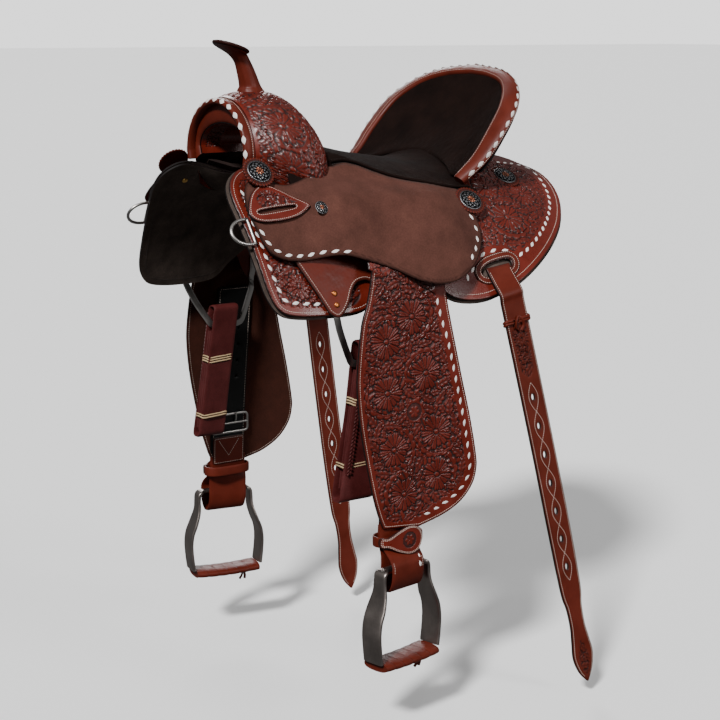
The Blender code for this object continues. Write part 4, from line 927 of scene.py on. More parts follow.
def skirts():
    front = loop_of(SKIRT_FRONT + SKIRT_FRONT_FOOT + ((-0.112, 0.150), (-0.112, 0.060), (-0.140, 0.004),
                                                      (-0.190, -0.006), (-0.225, -0.008)))
    field = Carving(inset(loop_of(FRONT_FIELD), 0.0005), FRONT_FLOWERS, 0.4, rings=0.6)
    panel("front_skirt", front, under, -SKIRT_THICK, 0.0, ("tooled", "edge", "felt"), 0.0014, carved(field),
          cad="front_skirt")
    rear = loop_of(SKIRT_REAR + ((0.235, -0.040), (0.165, -0.040), (0.112, 0.004), (0.060, 0.034),
                                 (-0.010, 0.050), (-0.050, 0.080), (-0.052, 0.140)))
    slot = loop_of(SLOT)
    field = Carving(loop_of(REAR_FIELD), REAR_FLOWERS, 1.9)
    panel("rear_skirt", rear, under_rear, -SKIRT_THICK, 0.0, ("tooled", "edge", "felt"), 0.0014,
          carved(field), holes=(slot,), cad="rear_skirt")
    ring = inset(slot, -0.0125)
    panel("slot_panel", ring, under, 0.0002, 0.0022, ("smooth",), 0.002, plain(0.0002),
          holes=(inset(slot, -0.001),))
    lining = [(y - 0.003, t) for y, t in SKIRT_FRONT] + [(y, t + 0.003) for y, t in SKIRT_FRONT_FOOT]
    lining += [(-0.085, 0.180), (-0.060, 0.176)] + [(y * 1.01, t + 0.003) for y, t in SKIRT_REAR]
    lining = loop_of(lining + [(0.220, -0.026), (0.120, -0.016), (0.0, -0.012), (-0.12, -0.010),
                               (-0.20, -0.010)])
    low = -SKIRT_THICK - LINING_GAP - LINING_THICK
    panel("skirt_lining", lining, under, low, -SKIRT_THICK - LINING_GAP, ("felt", "edge", "felt"), 0.006,
          cad="skirt_lining", bevel=0.002)
    arc = curve(((0.209, -0.018), (0.262, -0.012), (0.285, 0.003), (0.286, 0.037), (0.271, 0.075),
                 (0.247, 0.106), (0.213, 0.135), (0.180, 0.157), (0.149, 0.174), (0.124, 0.183)))
    slot_arc = curve(((0.117, 0.172), (0.098, 0.165), (0.078, 0.165), (0.058, 0.170)))
    foot_arc = curve(((0.050, 0.184), (0.034, 0.195), (0.028, 0.207)))
    front_arc = curve(((-0.290, 0.040), (-0.291, 0.100), (-0.288, 0.141), (-0.284, 0.179), (-0.276, 0.214),
                       (-0.262, 0.222), (-0.215, 0.226)))
    for side, tag in BOTH:
        rear_line = part_of(inset(rear, 0.0085),
                            lambda y, t: (y > 0.16 and t > 0) or (y > -0.03 and t > 0.17))
        front_line = part_of(inset(front, 0.0055), lambda y, t: y < -0.13 and (y < -0.24 or t > 0.1))
        rows("skirt_stitching_" + tag, [
            stitches(under_rear, rear_line, 0.0, side), stitches(under, front_line, 0.0, side),
            stitches(under, inset(slot, -0.0035), 0.0022, side, True),
            stitches(under, inset(slot, -0.0105), 0.0022, side, True)], "thread")
        rows("skirt_lacing_" + tag, [lacing(under_rear if line is arc else under, line, 0.0, side)
                                     for line in (arc, slot_arc, foot_arc, front_arc)], "lace")
        inner = part_of(inset(lining, 0.011), lambda y, t: t > 0.06)
        p, out = frames_along(under, resample(inner, 0.002, False), low, side)
        here = under(-0.262, 0.034, low)
        screw = stud(here, here - under(-0.262, 0.034, low + 0.01), side, 0.0048, 0.0022, 0.9, 28)
        put("lining_screw_" + tag, *screw, ("brass",))
        rows("lining_stitching_" + tag, [bead_row(p, -out, 0.0042, 0.003, 0.0008, 0.0007, pointed=0.5)],
             "grey_thread")


def jockey():
    seam = ((0.070, 0.060), (0.035, 0.050), (0.0, 0.040), (-0.050, 0.023), (-0.106, 0.001), (-0.138, 0.009))
    fork_edge = ((-0.150, 0.008), (-0.168, 0.018), (-0.195, 0.034), (-0.225, 0.044), (-0.252, 0.040),
                 (-0.285, 0.038))
    ring = loop_of(JOCKEY + seam + fork_edge)

    def relief(spots, away):
        lower = np.clip((spots[:, 1] - 0.1) / 0.05, 0, 1)
        line = np.exp(-((away - 0.0048) / 0.0007)**2) * lower
        # The second value paints shade into the pressed line.
        return 0.0003 * noise(spots, 0.03) - 0.0004 * line, 0.6 * line

    panel("seat_jockey", ring, over, JOCKEY_LOW, JOCKEY_TOP, ("roughout", "edge", "roughout"), 0.0022, relief,
          cad="seat_jockey", rim=0.0035, bevel=0.0016)
    front = curve(((-0.292, 0.112), (-0.284, 0.138), (-0.267, 0.153), (-0.243, 0.157), (-0.205, 0.155),
                   (-0.170, 0.161)))
    rear = curve(((0.062, 0.100), (0.060, 0.132), (0.047, 0.158), (0.020, 0.184)))
    seam_line = curve([(y, float(through(y, SEAM))) for y in np.linspace(-0.136, 0.088, 24)], 4)
    for side, tag in BOTH:
        rows("jockey_lacing_" + tag, [lacing(over, front, JOCKEY_TOP, side, spacing=0.0172),
                                      lacing(over, rear, JOCKEY_TOP, side, spacing=0.0185)], "lace")
        p, out = frames_along(over, resample(seam_line, 0.003, False), JOCKEY_TOP + 0.0005, side)
        points, faces = tube_mesh(p + out * 0.0004, 0.0023, 10)
        put("seat_piping_" + tag, points, faces, ("suede",))
        rows("seam_stitching_" + tag, [
            stitches(over, seam_line + (0, 0.0052), JOCKEY_TOP, side, spacing=0.0040),
            stitches(over, seam_line + (0, 0.0085), JOCKEY_TOP, side, spacing=0.0040)], "grey_thread")
    keeper()


def seat_fill():
    """Suede that runs down from the seat, under the jockey's upper edge and the fork's foot."""
    ring = loop_of(((-0.205, 0.066), (-0.215, 0.030), (-0.190, 0.000), (-0.140, -0.020), (-0.100, -0.012),
                    (-0.045, 0.018), (0.020, 0.040), (0.092, 0.046), (0.100, 0.070), (0.040, 0.075),
                    (-0.06, 0.060), (-0.130, 0.066)))
    panel("seat_fill", ring, over, JOCKEY_LOW - 0.0035, JOCKEY_LOW + 0.0008, ("suede",), 0.004, plain(0.0003))


def keeper():
    low = KEEPER_LOW
    ring, slot = loop_of(KEEPER), loop_of(KEEPER_SLOT)
    field = Carving(loop_of(((-0.262, 0.056), (-0.228, 0.073), (-0.222, 0.076), (-0.236, 0.078),
                             (-0.270, 0.084), (-0.284, 0.080), (-0.282, 0.064))),
                    ((-0.262, 0.0705, 0.0085),), 0.7, rings=0)
    panel("latigo_keeper", ring, over, low, low + KEEPER_THICK, ("tooled",), 0.0011, carved(field),
          holes=(slot,), cad="latigo_keeper", rim=0.0018)
    for side, tag in BOTH:
        rows("keeper_stitching_" + tag, [
            stitches(over, inset(ring, 0.0026), low + KEEPER_THICK, side, True, 0.0032),
            stitches(over, inset(slot, -0.0022), low + KEEPER_THICK, side, True, 0.0032)], "thread")


def rigging():
    tips = tuple((PLATE_MIDDLE - d, t) for d, t in reversed(PLATE_HALF))
    tips += tuple((PLATE_MIDDLE + d, t) for d, t in PLATE_HALF[1:])
    ring = loop_of(tips + ((-0.030, 0.190), (-0.022, 0.150), (-0.030, 0.110), (-0.100, 0.095),
                           (-0.180, 0.100), (-0.250, 0.118), (-0.252, 0.150)))
    top = PLATE_LOW + PLATE_THICK
    panel("rigging_plate", ring, plate_point, PLATE_LOW, top, ("smooth",), 0.0022, plain(0.00025, 0.015),
          cad="rigging_plate", bevel=0.0012, rim=0.003)
    line = part_of(inset(ring, 0.0042), lambda y, t: t > 0.14)
    arm = [stack(x, PLATE_MIDDLE + d, z) for x, d, z in DEE_ARM]
    other = [stack(x, PLATE_MIDDLE - d, z) for x, d, z in DEE_ARM]
    for side, tag in BOTH:
        rows("plate_stitching_" + tag, [stitches(plate_point, line, top, side)], "thread")
        half = [plate_point(PLATE_MIDDLE + PLATE_TIP, t, DEE_LIFT) for t in DEE_UNDER_PLATE] + arm
        rest = other[::-1] + [plate_point(PLATE_MIDDLE - PLATE_TIP, t, DEE_LIFT)
                              for t in DEE_UNDER_PLATE[::-1]]
        path = np.vstack([curve(half, 6), curve(rest, 6)])
        tube("rigging_dee_bar_" + tag, path, 0, "steel", 16, side, flat=(0.0034, 0.0110), up=(1, 0, 0),
             cad=("rigging_dee_" + tag,), power=3.5)
        y = PLATE_MIDDLE - PLATE_TIP
        rivets = [stud(side_point(y, t, top + GAP), side_point(y, t, 0.02) - side_point(y, t, 0.01), side,
                       0.0042, 0.0019, 0.92, 24) for t in (0.212, 0.229)]
        piece = rows("rigging_rivet_heads_" + tag, rivets, "rivet")
        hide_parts("rigging_rivets_" + tag)


# ---------------------------------------------------------------- rosettes and conchos
def rosette_height(radius, thick, loops):
    """Leather rosette with a scalloped rim, a groove and pressed rays; its darkness is painted shade in the
    groove and along the pressed rays, with a darker outer rim.
    """
    def height(r, a):
        wave = np.abs(np.sin(a * loops / 2))
        grow = 1 + 0.045 * (wave - 0.5) * step01((r - 0.7) / 0.25)
        rise = thick - 0.0009 * np.clip((r - 0.93) / 0.07, 0, 1)**2
        line = np.exp(-((r - 0.83) / 0.03)**2)
        spoke = (1 - wave)**3 * step01((r - 0.55) / 0.2)
        rise = rise - 0.0005 * line - 0.0006 * spoke
        return radius * r * grow, rise, np.clip(0.9 * line + spoke + 0.5 * (r > 0.96), 0, 1)
    return height


def concho_height(radius, dome):
    """Engraved silver dome with a beaded rim."""
    def height(r, a):
        rise = dome * np.sqrt(np.maximum(1 - 0.80 * r**2, 0)) - dome * 0.447
        beads = 0.0006 * np.abs(np.cos(20 * a)) * step01((r - 0.88) / 0.03) * (r < 0.98)
        groove = np.exp(-((r - 0.85) / 0.022)**2)
        vine = np.abs(np.sin(5 * a + 8 * r)) * np.abs(np.sin(5 * a - 8 * r + 0.6))
        bright = step01((vine - 0.42) / 0.16) * (r < 0.80) * (r > 0.34)
        rise = rise + beads - 0.0005 * groove + 0.0004 * bright
        black = np.where(r > 0.87, 0.35 + 0.65 * (np.abs(np.cos(20 * a)) < 0.45), 1 - 0.9 * bright)
        return radius * r, rise, np.clip(black + groove, 0, 1)
    return height


def flower_height(radius, dome, petals):
    """Small raised flower."""
    def height(r, a):
        wave = np.abs(np.cos(a * petals / 2))
        rise = dome * (0.45 + 0.4 * np.sin(math.pi * np.clip((r - 0.2) / 0.8, 0, 1))) * (0.55 + 0.45 * wave)
        rise = np.where(r < 0.25, dome, rise)
        return radius * r * (0.72 + 0.28 * wave), rise, np.clip(1 - wave * 2.2, 0, 1) * (r > 0.25)
    return height


def concho(name, here, out, side, radius=CONCHO_RADIUS, dome=0.0058, cad=(), petals=8):
    here, out = flip(here, side), flip(out, side)
    points, faces, low = disc(here, out, concho_height(radius, dome), 30, 144)
    put(name, points, faces, ("silver",), low=low, cad=cad)
    points, faces, low = disc(here + unit(out) * dome * 0.40, out,
                              flower_height(radius * 0.36, dome * 0.30, petals), 14, 96)
    put(name + "_flower", points, faces, ("copper",), low=low)


def trim():
    seats = {"front": (-0.268, 0.028, 0.0198), "side": (0.074, 0.082, 0.0192), "back": (0.200, 0.022, 0.0020)}
    for side, tag in BOTH:
        for place, (y, t, lift) in seats.items():
            here = side_point(y, t, lift)
            out = unit(side_point(y, t, lift + 0.01) - here)
            if place == "front":
                points, faces, low = disc(flip(here, side), flip(out, side),
                                          rosette_height(0.0246, ROSETTE_THICK, 28), 24, 224)
                put("front_rosette_leather_" + tag, points, faces, ("smooth",), low=low,
                    cad=("front_rosette_" + tag,))
                here = here + out * (ROSETTE_THICK + GAP)
            else:
                points, faces, low = disc(flip(here - out * 0.0018, side), flip(out, side),
                                          rosette_height(0.0252, 0.0017, 30), 24, 240)
                put(place + "_rosette_" + tag, points, faces, ("smooth",), low=low)
            concho(place + "_concho_metal_" + tag, here, out, side, cad=(place + "_concho_" + tag,))
        y, t = -0.196, 0.092
        low = JOCKEY_TOP + GAP
        here = over(y, t, low + 0.0050)
        concho("jockey_screw_head_" + tag, here - unit(over(y, t, low + 0.01) - here) * 0.001,
               unit(over(y, t, low + 0.01) - here), side, SCREW_RADIUS, 0.0040, ("jockey_screw_" + tag,), 6)


# ---------------------------------------------------------------- fork, gullet and horn
def arch_curve(y, crown, half, foot, s):
    spring = np.maximum(crown - half * 0.92, foot + 0.012)
    turn, down = np.abs(s) / 0.76 * math.pi / 2, (np.abs(s) - 0.76) / 0.24
    x = np.where(down <= 0, half * np.sin(turn), half * (1 - 0.05 * down))
    z = np.where(down <= 0, spring + (crown - spring) * np.cos(turn), spring + (foot - spring) * down)
    return stack(np.copysign(x, s), y, z)


def arch(f, s, depth):
    """The fork's leather: f from front to rear, s from side to side."""
    y, crown, half, foot = (through(f, spaced(FORK), column) for column in (1, 2, 3, 4))
    return arch_curve(y, crown - depth, half - depth, foot, s)


def gullet(f, s, depth):
    """The leather that lines the gullet, in the same way."""
    return arch_curve(-0.2495 + 0.1055 * f, 0.112 - 0.006 * f - depth, 0.074 - depth, 0.060, s)


ARC, LONG = 0.214, 0.128      # half the fork's arch, and its length, along the leather


def fork():
    flowers = tuple((s * x, y, size) for s in (1, -1) for x, y, size in
                    ((0.100, 0.039, 0.0260), (0.160, 0.041, 0.0245), (0.131, 0.090, 0.019)))
    field = Carving(box(0.232, 0.005, 0.122), flowers, 0.9, petals=16)
    reach = 1.42
    slab("fork_leather", lambda u, v: arch(v, (2 * u - 1) * reach, 0.0),
         lambda u, v: arch(v, (2 * u - 1) * reach, 0.0030), 400, 100, ("tooled",),
         carved_sheet(field, reach * ARC, LONG), cad=("fork_cover",))

    def face(bulge):
        def surface(u, v):
            s = (2 * u - 1) * 1.02
            a, b = arch(0 * s, s, 0.0010), gullet(0 * s, s, 0.0014)
            p = a + (b - a) * v[..., None]
            p[..., 1] = -0.2506 - bulge * np.sin(math.pi * np.clip(v, 0, 1))**0.6
            return p
        return surface

    slab("fork_face", face(0.0042), face(0.0), 200, 24, ("smooth",))
    strip = Carving(box(0.105, 0.008, 0.034),
                    tuple((x, 0.021, 0.0115) for x in (-0.088, -0.053, -0.018, 0.018, 0.053, 0.088)), 0.3,
                    rings=0)
    slab("gullet_leather", lambda u, v: gullet(v, 2 * u - 1, 0.0030), lambda u, v: gullet(v, 2 * u - 1, GAP),
         200, 84, ("tooled", "edge", "felt"), carved_sheet(strip, 0.128, 0.1055), cad=("gullet_lining",))
    s = np.linspace(-0.93, 0.93, 140)
    crown = arch(0.0 * s, s, 0.006) - (0, 0.0086, 0)
    along = unit(np.gradient(crown, axis=0))
    radial = np.cross(along, (0, 1, 0))
    points, faces = tube_mesh(crown, 0, 20, flat=(0.016, 0.010), up=(0, 1, 0.0001), power=2.3)
    put("fork_roll", points, faces, ("smooth",), cad=("fork_binding",))
    if radial[len(s) // 2, 2] < 0:
        radial = -radial
    face = unit(radial * 0.55 + np.array((0, -1.0, 0)))
    spot = crown + radial * 0.0026 - (0, 0.0068, 0)
    rows("fork_lacing", [bead_row(spot[6:-6], face[6:-6], 0.0205, 0.0135, 0.0075, 0.0016, pointed=1.0)],
         "lace")
    rear = crown + radial * 0.0046 + (0, 0.0056, 0)
    rows("fork_stitching", [bead_row(rear, unit(radial + (0, 0.3, 0)), 0.0034, 0.0025, 0.0009, 0.0008,
                                     pointed=0.5)], "thread")


NECK = ((-0.2000, 0.1480, 0.0260, 0.0), (-0.2030, 0.1580, 0.0195, 0.0), (-0.2045, 0.1655, 0.0160, 0.3),
        (-0.2110, 0.1850, 0.0135, 1.0), (-0.2185, 0.2030, 0.0118, 1.0), (-0.2250, 0.2105, 0.0150, -0.2),
        (-0.2345, 0.2160, 0.0235, -1.0), (-0.2372, 0.2185, 0.0262, -1.0))
CAP = ((0.0010, 0.0), (0.0200, 0.0), (0.0250, 0.0), (0.0274, 0.0006), (0.0286, 0.0018), (0.0290, 0.0032),
       (0.0285, 0.0046), (0.0270, 0.0056), (0.0250, 0.0059), (0.0236, 0.0056), (0.0215, 0.0058),
       (0.0140, 0.0068), (0.0, 0.0073))


SPOKES = 128      # round the horn


def horn():
    turn = circle(SPOKES)
    rings = []
    for y, z, r, lean in curve(NECK, 10):
        tip = HORN_LEAN * lean if lean > 0 else CAP_TILT * lean
        rise = (z - 0.160) / 0.0585
        fold = 0.00022 * np.sin(7 * turn + 1.1 * rise) * math.sin(math.pi * min(max(rise, 0), 1))**0.5
        fold = fold + 0.0001 * np.sin(13 * turn - 1.5 * rise)
        across = (r + fold) * np.cos(turn)
        ahead = (r + fold) * np.sin(turn)
        rings.append(stack(across, y + ahead * math.cos(tip), z + ahead * math.sin(tip)))
    put("horn_neck", np.vstack(rings), skin(len(rings), SPOKES), ("smooth",), cad=("horn_wrap",))
    up = np.array((0, math.sin(CAP_TILT), math.cos(CAP_TILT)))
    base = np.array((0, -0.2372, 0.2185)) + up * GAP
    profile = curve(CAP, 4)
    x, y = np.array((1.0, 0, 0)), np.cross(up, (1.0, 0, 0))
    spokes = x * np.cos(turn)[:, None] + y * np.sin(turn)[:, None]
    rings = [base + up * h + spokes * max(r, 1e-4) for r, h in profile]
    put("horn_cap_leather", np.vstack(rings), skin(len(rings), SPOKES), ("dark",), cad=("horn_cap",))


# ---------------------------------------------------------------- seat and cantle
def seat_edge(y):
    return side_point(y, through(y, SEAM), JOCKEY_TOP)


def seat_point(x, y, lift):
    edge, line = seat_edge(y), through(y, SEAT_LINE)
    return stack(x, y, line + (edge[..., 2] - line) * (x / edge[..., 0])**2 + lift)


def rim_point(rim, f):
    stations = spaced(rim)
    s = 1 - np.abs(f)
    return stack(np.copysign(through(s, stations, 1), f), through(s, stations, 2), through(s, stations, 3))


def inlay_point(f, v, back):
    low = stack(0.140 * f, 0.112 - 0.040 * f * f, 0.056 - 0.030 * f * f)
    high = rim_point(ROLL_IN, f) * 0.985 + (0, 0.003, 0.001)
    dish = 0.012 * np.sin(math.pi * v) * (1 - f * f)
    return low + (high - low) * v[..., None] + np.array((0, 0.76, -0.65)) * (dish + back)[..., None]


def back_point(f, v, out):
    low = stack(0.150 * f, 0.207 - 0.100 * f * f, 0.046 - 0.030 * f * f)
    a, b = rim_point(ROLL_OUT, f), rim_point(ROLL_IN, f)
    high = a + (b - a) * 0.35 + (0, 0.008, -0.010)
    out = out - 0.004 * np.sin(math.pi * v)
    return low + (high - low) * v[..., None] + np.array((0, 0.9, -0.2)) * out[..., None]


def wrinkled(wide, long, scale, size):
    """Soft folds in a padded surface, pressed down along its edges."""
    def relief(u, v):
        folds = noise(spots_of(u, v, wide, long), size, 2) * scale
        edge = np.minimum(np.minimum(u, 1 - u) * wide * 2, np.minimum(v, 1 - v) * long)
        # The second value would paint shade into the folds' hollows; the suede's material does not read it.
        return folds - 0.0035 * np.clip(1 - edge / 0.006, 0, 1)**2, np.clip(-folds / scale - 0.2, 0, 1) * 0.5
    return relief


def seat():
    def across(lift):
        def surface(u, v):
            f = 2 * u - 1
            y = -0.144 + (0.119 - 0.030 * f * f + 0.144) * v
            return seat_point(f * (seat_edge(y)[..., 0] - 0.0015), y, lift)
        return surface

    pad = slab("seat_suede", across(0.0), across(-0.0085), 150, 120, ("suede", "suede", "suede"),
               wrinkled(0.12, 0.24, 0.0005, 0.035), cad=("seat_pad",))

    def sheet(point, depth, span, low=0.02, high=0.97):
        return lambda u, v: point(span * (2 * u - 1), low + (high - low) * v, depth + 0 * v)

    pad = slab("cantle_suede", sheet(inlay_point, 0.0, 0.97, -0.02, 1.04),
               sheet(inlay_point, 0.0070, 0.97, -0.02, 1.04), 190, 90,
               ("suede", "suede", "suede"), wrinkled(0.19, 0.12, 0.0007, 0.03), cad=("cantle_inlay",))
    field = Carving(box(0.172, 0.006, 0.108),
                    ((0.0, 0.052, 0.024), (0.062, 0.060, 0.023), (-0.062, 0.060, 0.023),
                     (0.122, 0.056, 0.022), (-0.122, 0.056, 0.022)),
                    0.2)
    slab("cantle_back_leather", sheet(back_point, 0.0035, 0.88), sheet(back_point, 0.0, 0.88), 230, 80,
         ("tooled",), carved_sheet(field, 0.175, 0.114), cad=("cantle_back",))
    cantle_roll()


ROLL_RINGS = 260


def roll_frames(reach):
    """The cantle roll's middle line, and its half width and half thickness, out to this much of the rim."""
    f = np.linspace(-reach, reach, ROLL_RINGS)
    a, b = rim_point(ROLL_IN, f), rim_point(ROLL_OUT, f)
    ahead = rim_point(ROLL_IN, np.minimum(f + 0.03, 1)) - rim_point(ROLL_IN, np.maximum(f - 0.03, -1))
    half = (b - a) / 2
    thick = unit(np.cross(half, ahead)) * 0.0070
    return (a + b) / 2, half, thick


def roll_point(frames, turn):
    """Point of the cantle roll's skin: turn 0 at its outer edge, then over its top to its inner edge."""
    mid, half, thick = frames
    return mid + half * blunt(math.cos(turn), 0.85) - thick * blunt(math.sin(turn), 0.85)


def cantle_roll():
    frames = roll_frames(1.0)
    turns = circle(28)
    points = np.stack([roll_point(frames, t) for t in turns], 1).reshape(-1, 3)
    put("cantle_roll", points, skin(ROLL_RINGS, len(turns)), ("smooth",), cad=("cantle_binding",))

    def line(turn, frames):
        p = roll_point(frames, turn)
        q = roll_point((frames[0], frames[1] * 1.1, frames[2] * 1.1), turn)
        return p, unit(q - p)

    frames = roll_frames(0.97)
    p, out = line(math.radians(30), frames)
    rows("cantle_lacing", [bead_row(p, out, 0.0195, 0.0135, 0.0075, 0.0016, pointed=1.0)], "lace")
    rows("cantle_stitching",
         [bead_row(*line(math.radians(a), frames), 0.0038, 0.0028, 0.0009, 0.0008, pointed=0.5)
          for a in (132, 8)],
         "thread")


# ---------------------------------------------------------------- fenders and what hangs with them
def jockey_x(y, z):
    """How far out the underside of the jockey is, at each station and height."""
    low, high = np.full(len(y), 0.10), np.full(len(y), 0.23)
    for _ in range(18):
        mid = (low + high) / 2
        above = over(y, mid, JOCKEY_LOW)[:, 2] > z
        low, high = np.where(above, mid, low), np.where(above, high, mid)
    return over(y, (low + high) / 2, JOCKEY_LOW)[:, 0]


def hinge_depth(y):
    f = (y - LIFT_FRONT[0]) / (LIFT_REAR[0] - LIFT_FRONT[0])
    return FENDER_TOP_Z - (LIFT_FRONT[1] + f * (LIFT_REAR[1] - LIFT_FRONT[1]))


JOCKEY_CLEARANCE, CORNER_CURL = 0.0007, 0.0016      # room for the fender as it swings under the jockey


def fender_place(y, q, lift):
    """The fender's surface: hanging below the line where it lifts, and tucked under the jockey above it."""
    p = fender_point(y, q, -lift)
    above = q < hinge_depth(y) + 0.004
    limit = jockey_x(y, p[:, 2]) - JOCKEY_CLEARANCE + lift
    p[:, 0] = np.where(above, np.minimum(p[:, 0], limit), p[:, 0])
    p[:, 0] -= CORNER_CURL * step01((-0.136 - y) / 0.012) * step01((0.010 - q) / 0.024)
    return p


def bend(piece, side, tag):
    """Bakes the piece's placement into its mesh."""
    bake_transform(piece)


def fenders():
    ring = np.vstack([curve(FENDER_FRONT), curve(FENDER_REAR), [(-0.0218, 0.0106)]])
    field = Carving(loop_of(FENDER_FIELD), FENDER_FLOWERS, 0.5,
                    extra=(("medallion", -0.0795, 0.206, 0.0165),))
    for piece, (side, tag) in zip(panel("fender_leather", ring, fender_place, -FENDER_THICK, 0.0,
                                        ("tooled", "edge", "inner"), 0.0013, carved(field), body="",
                                        cad="fender", rim=0.0026), BOTH):
        bend(piece, side, tag)
    line = part_of(inset(ring, 0.0038), lambda y, q: q > hinge_depth(y) + 0.006)
    offset = curve(((-0.036, 0.036), (-0.028, 0.070), (-0.017, 0.106), (-0.003, 0.168), (0.010, 0.227),
                    (0.020, 0.286), (0.021, 0.307), (0.013, 0.327), (-0.006, 0.345), (-0.036, 0.360),
                    (-0.064, 0.369)))
    for side, tag in BOTH:
        row = rows("fender_stitching_" + tag, [stitches(fender_place, line, 0.0, side)], "thread", "")
        bend(row, side, tag)
        rows("fender_lacing_" + tag, [lacing(fender_point, offset, 0.0, side, spacing=0.0172)], "lace",
             "fender_" + tag)
        p, out = frames_along(fender_point, resample(line, 0.002, False), FENDER_THICK, side)
        rows("fender_inner_stitching_" + tag, [bead_row(p, out, 0.0036, 0.0026, 0.0008, 0.0007, pointed=0.5)],
             "thread", "fender_" + tag)


def strap_middle(q):
    return -0.088 - 0.019 * step01(q / 0.40)


def leathers():
    back = FENDER_THICK + GAP
    eye = FENDER_TOP_Z - STIRRUP_TOP_Z
    run = ((0.070, 0.0100), (0.090, 0.0130), (0.112, 0.0158), (0.135, 0.0172), (0.158, 0.0180),
           (0.172, 0.0185))
    path = curve([side_point(-0.0848, t, lift) for t, lift in run], 5)
    wide = np.linspace(0.036, 0.056, len(path))

    def place(edge, q, lift):
        turn = STIRRUP_TURN * step01((q - eye + 0.046) / 0.030)
        x = fender_point(STIRRUP_Y + 0 * q, q, back)[..., 0] - lift
        return stack(x - edge * np.sin(turn), strap_middle(q) + edge * np.cos(turn), FENDER_TOP_Z - q)

    holes = [oval_hole(x, q, 0.0026, 0.0026, 14) for x in (-0.0115, 0.0115)
             for q in (0.150, 0.178, 0.206, 0.234)]
    strap = round_corners(box(0.0325, 0.078, 0.366), 0.004)
    panel("inner_strap", strap, place, 0.0, STRAP_THICK, ("black", "black", "black"), 0.003, plain(0.0002),
          holes=holes, body="fender_", cad="stirrup_leather")
    tongue = round_corners(box(0.031, 0.338, 0.386), 0.005)
    panel("strap_patch", tongue, place, STRAP_THICK, STRAP_THICK + 0.0024, ("smooth",), 0.003,
          plain(0.0003), body="fender_")
    ring = inset(tongue, 0.003)
    arrow = np.array(((-0.020, 0.344), (0.0, 0.372), (0.020, 0.344)))
    for side, tag in BOTH:
        tube("upper_leather_" + tag, path, 0, "black", 16, side, flat=(0.0040, wide), up=(0.9, 0, 0.4),
             body="leathers_" + tag, cad=("leather_loop_" + tag,), power=4)
        rows("strap_stitching_" + tag, [
            stitches(place, inset(strap, 0.003), STRAP_THICK, side, True, 0.0045),
            stitches(place, ring, STRAP_THICK + 0.0024, side, True),
            stitches(place, arrow, STRAP_THICK + 0.0024, side)], "thread", "fender_" + tag)
        neck_wrap(side, tag, eye, back)
        buckle(side, tag)
        hobble(side, tag)


ROLL_HALF, ROLL_DROP = 0.0145, 0.0300      # the leather roll round the stirrup's neck bar


def neck_wrap(side, tag, eye, back):
    """Leather that carries the stirrup: down outside, round its neck bar, and up inside."""
    q = np.linspace(0.372, eye + 0.004, 14)
    outer = fender_point(STIRRUP_Y + 0 * q, q, back)[:, 0] - 0.0016
    swell = step01((q - eye + 0.040) / 0.036)
    outer = outer + (STIRRUP_X + ROLL_HALF - outer) * swell
    low = np.linspace(0, math.pi, 19)[1:-1]
    profile = [(x, d) for x, d in zip(outer, q)]
    profile += [(STIRRUP_X + ROLL_HALF * math.cos(a), eye + 0.004 + ROLL_DROP * math.sin(a)) for a in low]
    profile += [(x - 0.0030 - (2 * ROLL_HALF - 0.0030) * w, d) for x, d, w in
                zip(outer[::-1], q[::-1], swell[::-1])]
    profile = np.array(profile)
    rings = resample(profile, 0.003, False)
    along = unit(np.gradient(rings, axis=0))
    normal = np.stack([along[:, 1], -along[:, 0]], -1)
    turn = STIRRUP_TURN * step01((rings[:, 1] - eye + 0.046) / 0.030)
    e = np.linspace(-1, 1, 23) * 0.0335
    grids = []
    for sign in (1, -1):
        thick = 0.0019 * np.clip((1 - np.abs(e) / 0.0337) / 0.06, 0.25, 1)**0.5
        px = rings[:, None, 0] + sign * normal[:, None, 0] * thick
        pq = rings[:, None, 1] + sign * normal[:, None, 1] * thick
        mid = strap_middle(rings[:, 1])[:, None]
        grids.append(stack(px - e * np.sin(turn)[:, None], mid + e * np.cos(turn)[:, None],
                           FENDER_TOP_Z - pq))
    put("neck_wrap_" + tag, flip(np.vstack([g.reshape(-1, 3) for g in grids]), side),
        sum(sheet_faces(len(rings), len(e)), []), ("smooth",), None, "fender_" + tag)

    def face(edge, d, lift):
        t = STIRRUP_TURN * step01((d - eye + 0.046) / 0.030)
        x = np.interp(d, q, outer) + 0.0019 + lift
        return stack(x - edge * np.sin(t), strap_middle(d) + edge * np.cos(t), FENDER_TOP_Z - d)

    sides = [np.array(((x, 0.409), (x, eye + 0.004))) for x in (-0.0300, 0.0300)]
    rows("neck_stitching_" + tag, [stitches(face, line, 0.0, side) for line in sides], "thread",
         "fender_" + tag)
    rows("neck_lacing_" + tag, [lacing(face, np.array(((0.0245, 0.407), (0.0245, eye + 0.006))), 0.0, side,
                                       spacing=0.0115, length=0.0095, width=0.005)], "lace", "fender_" + tag)


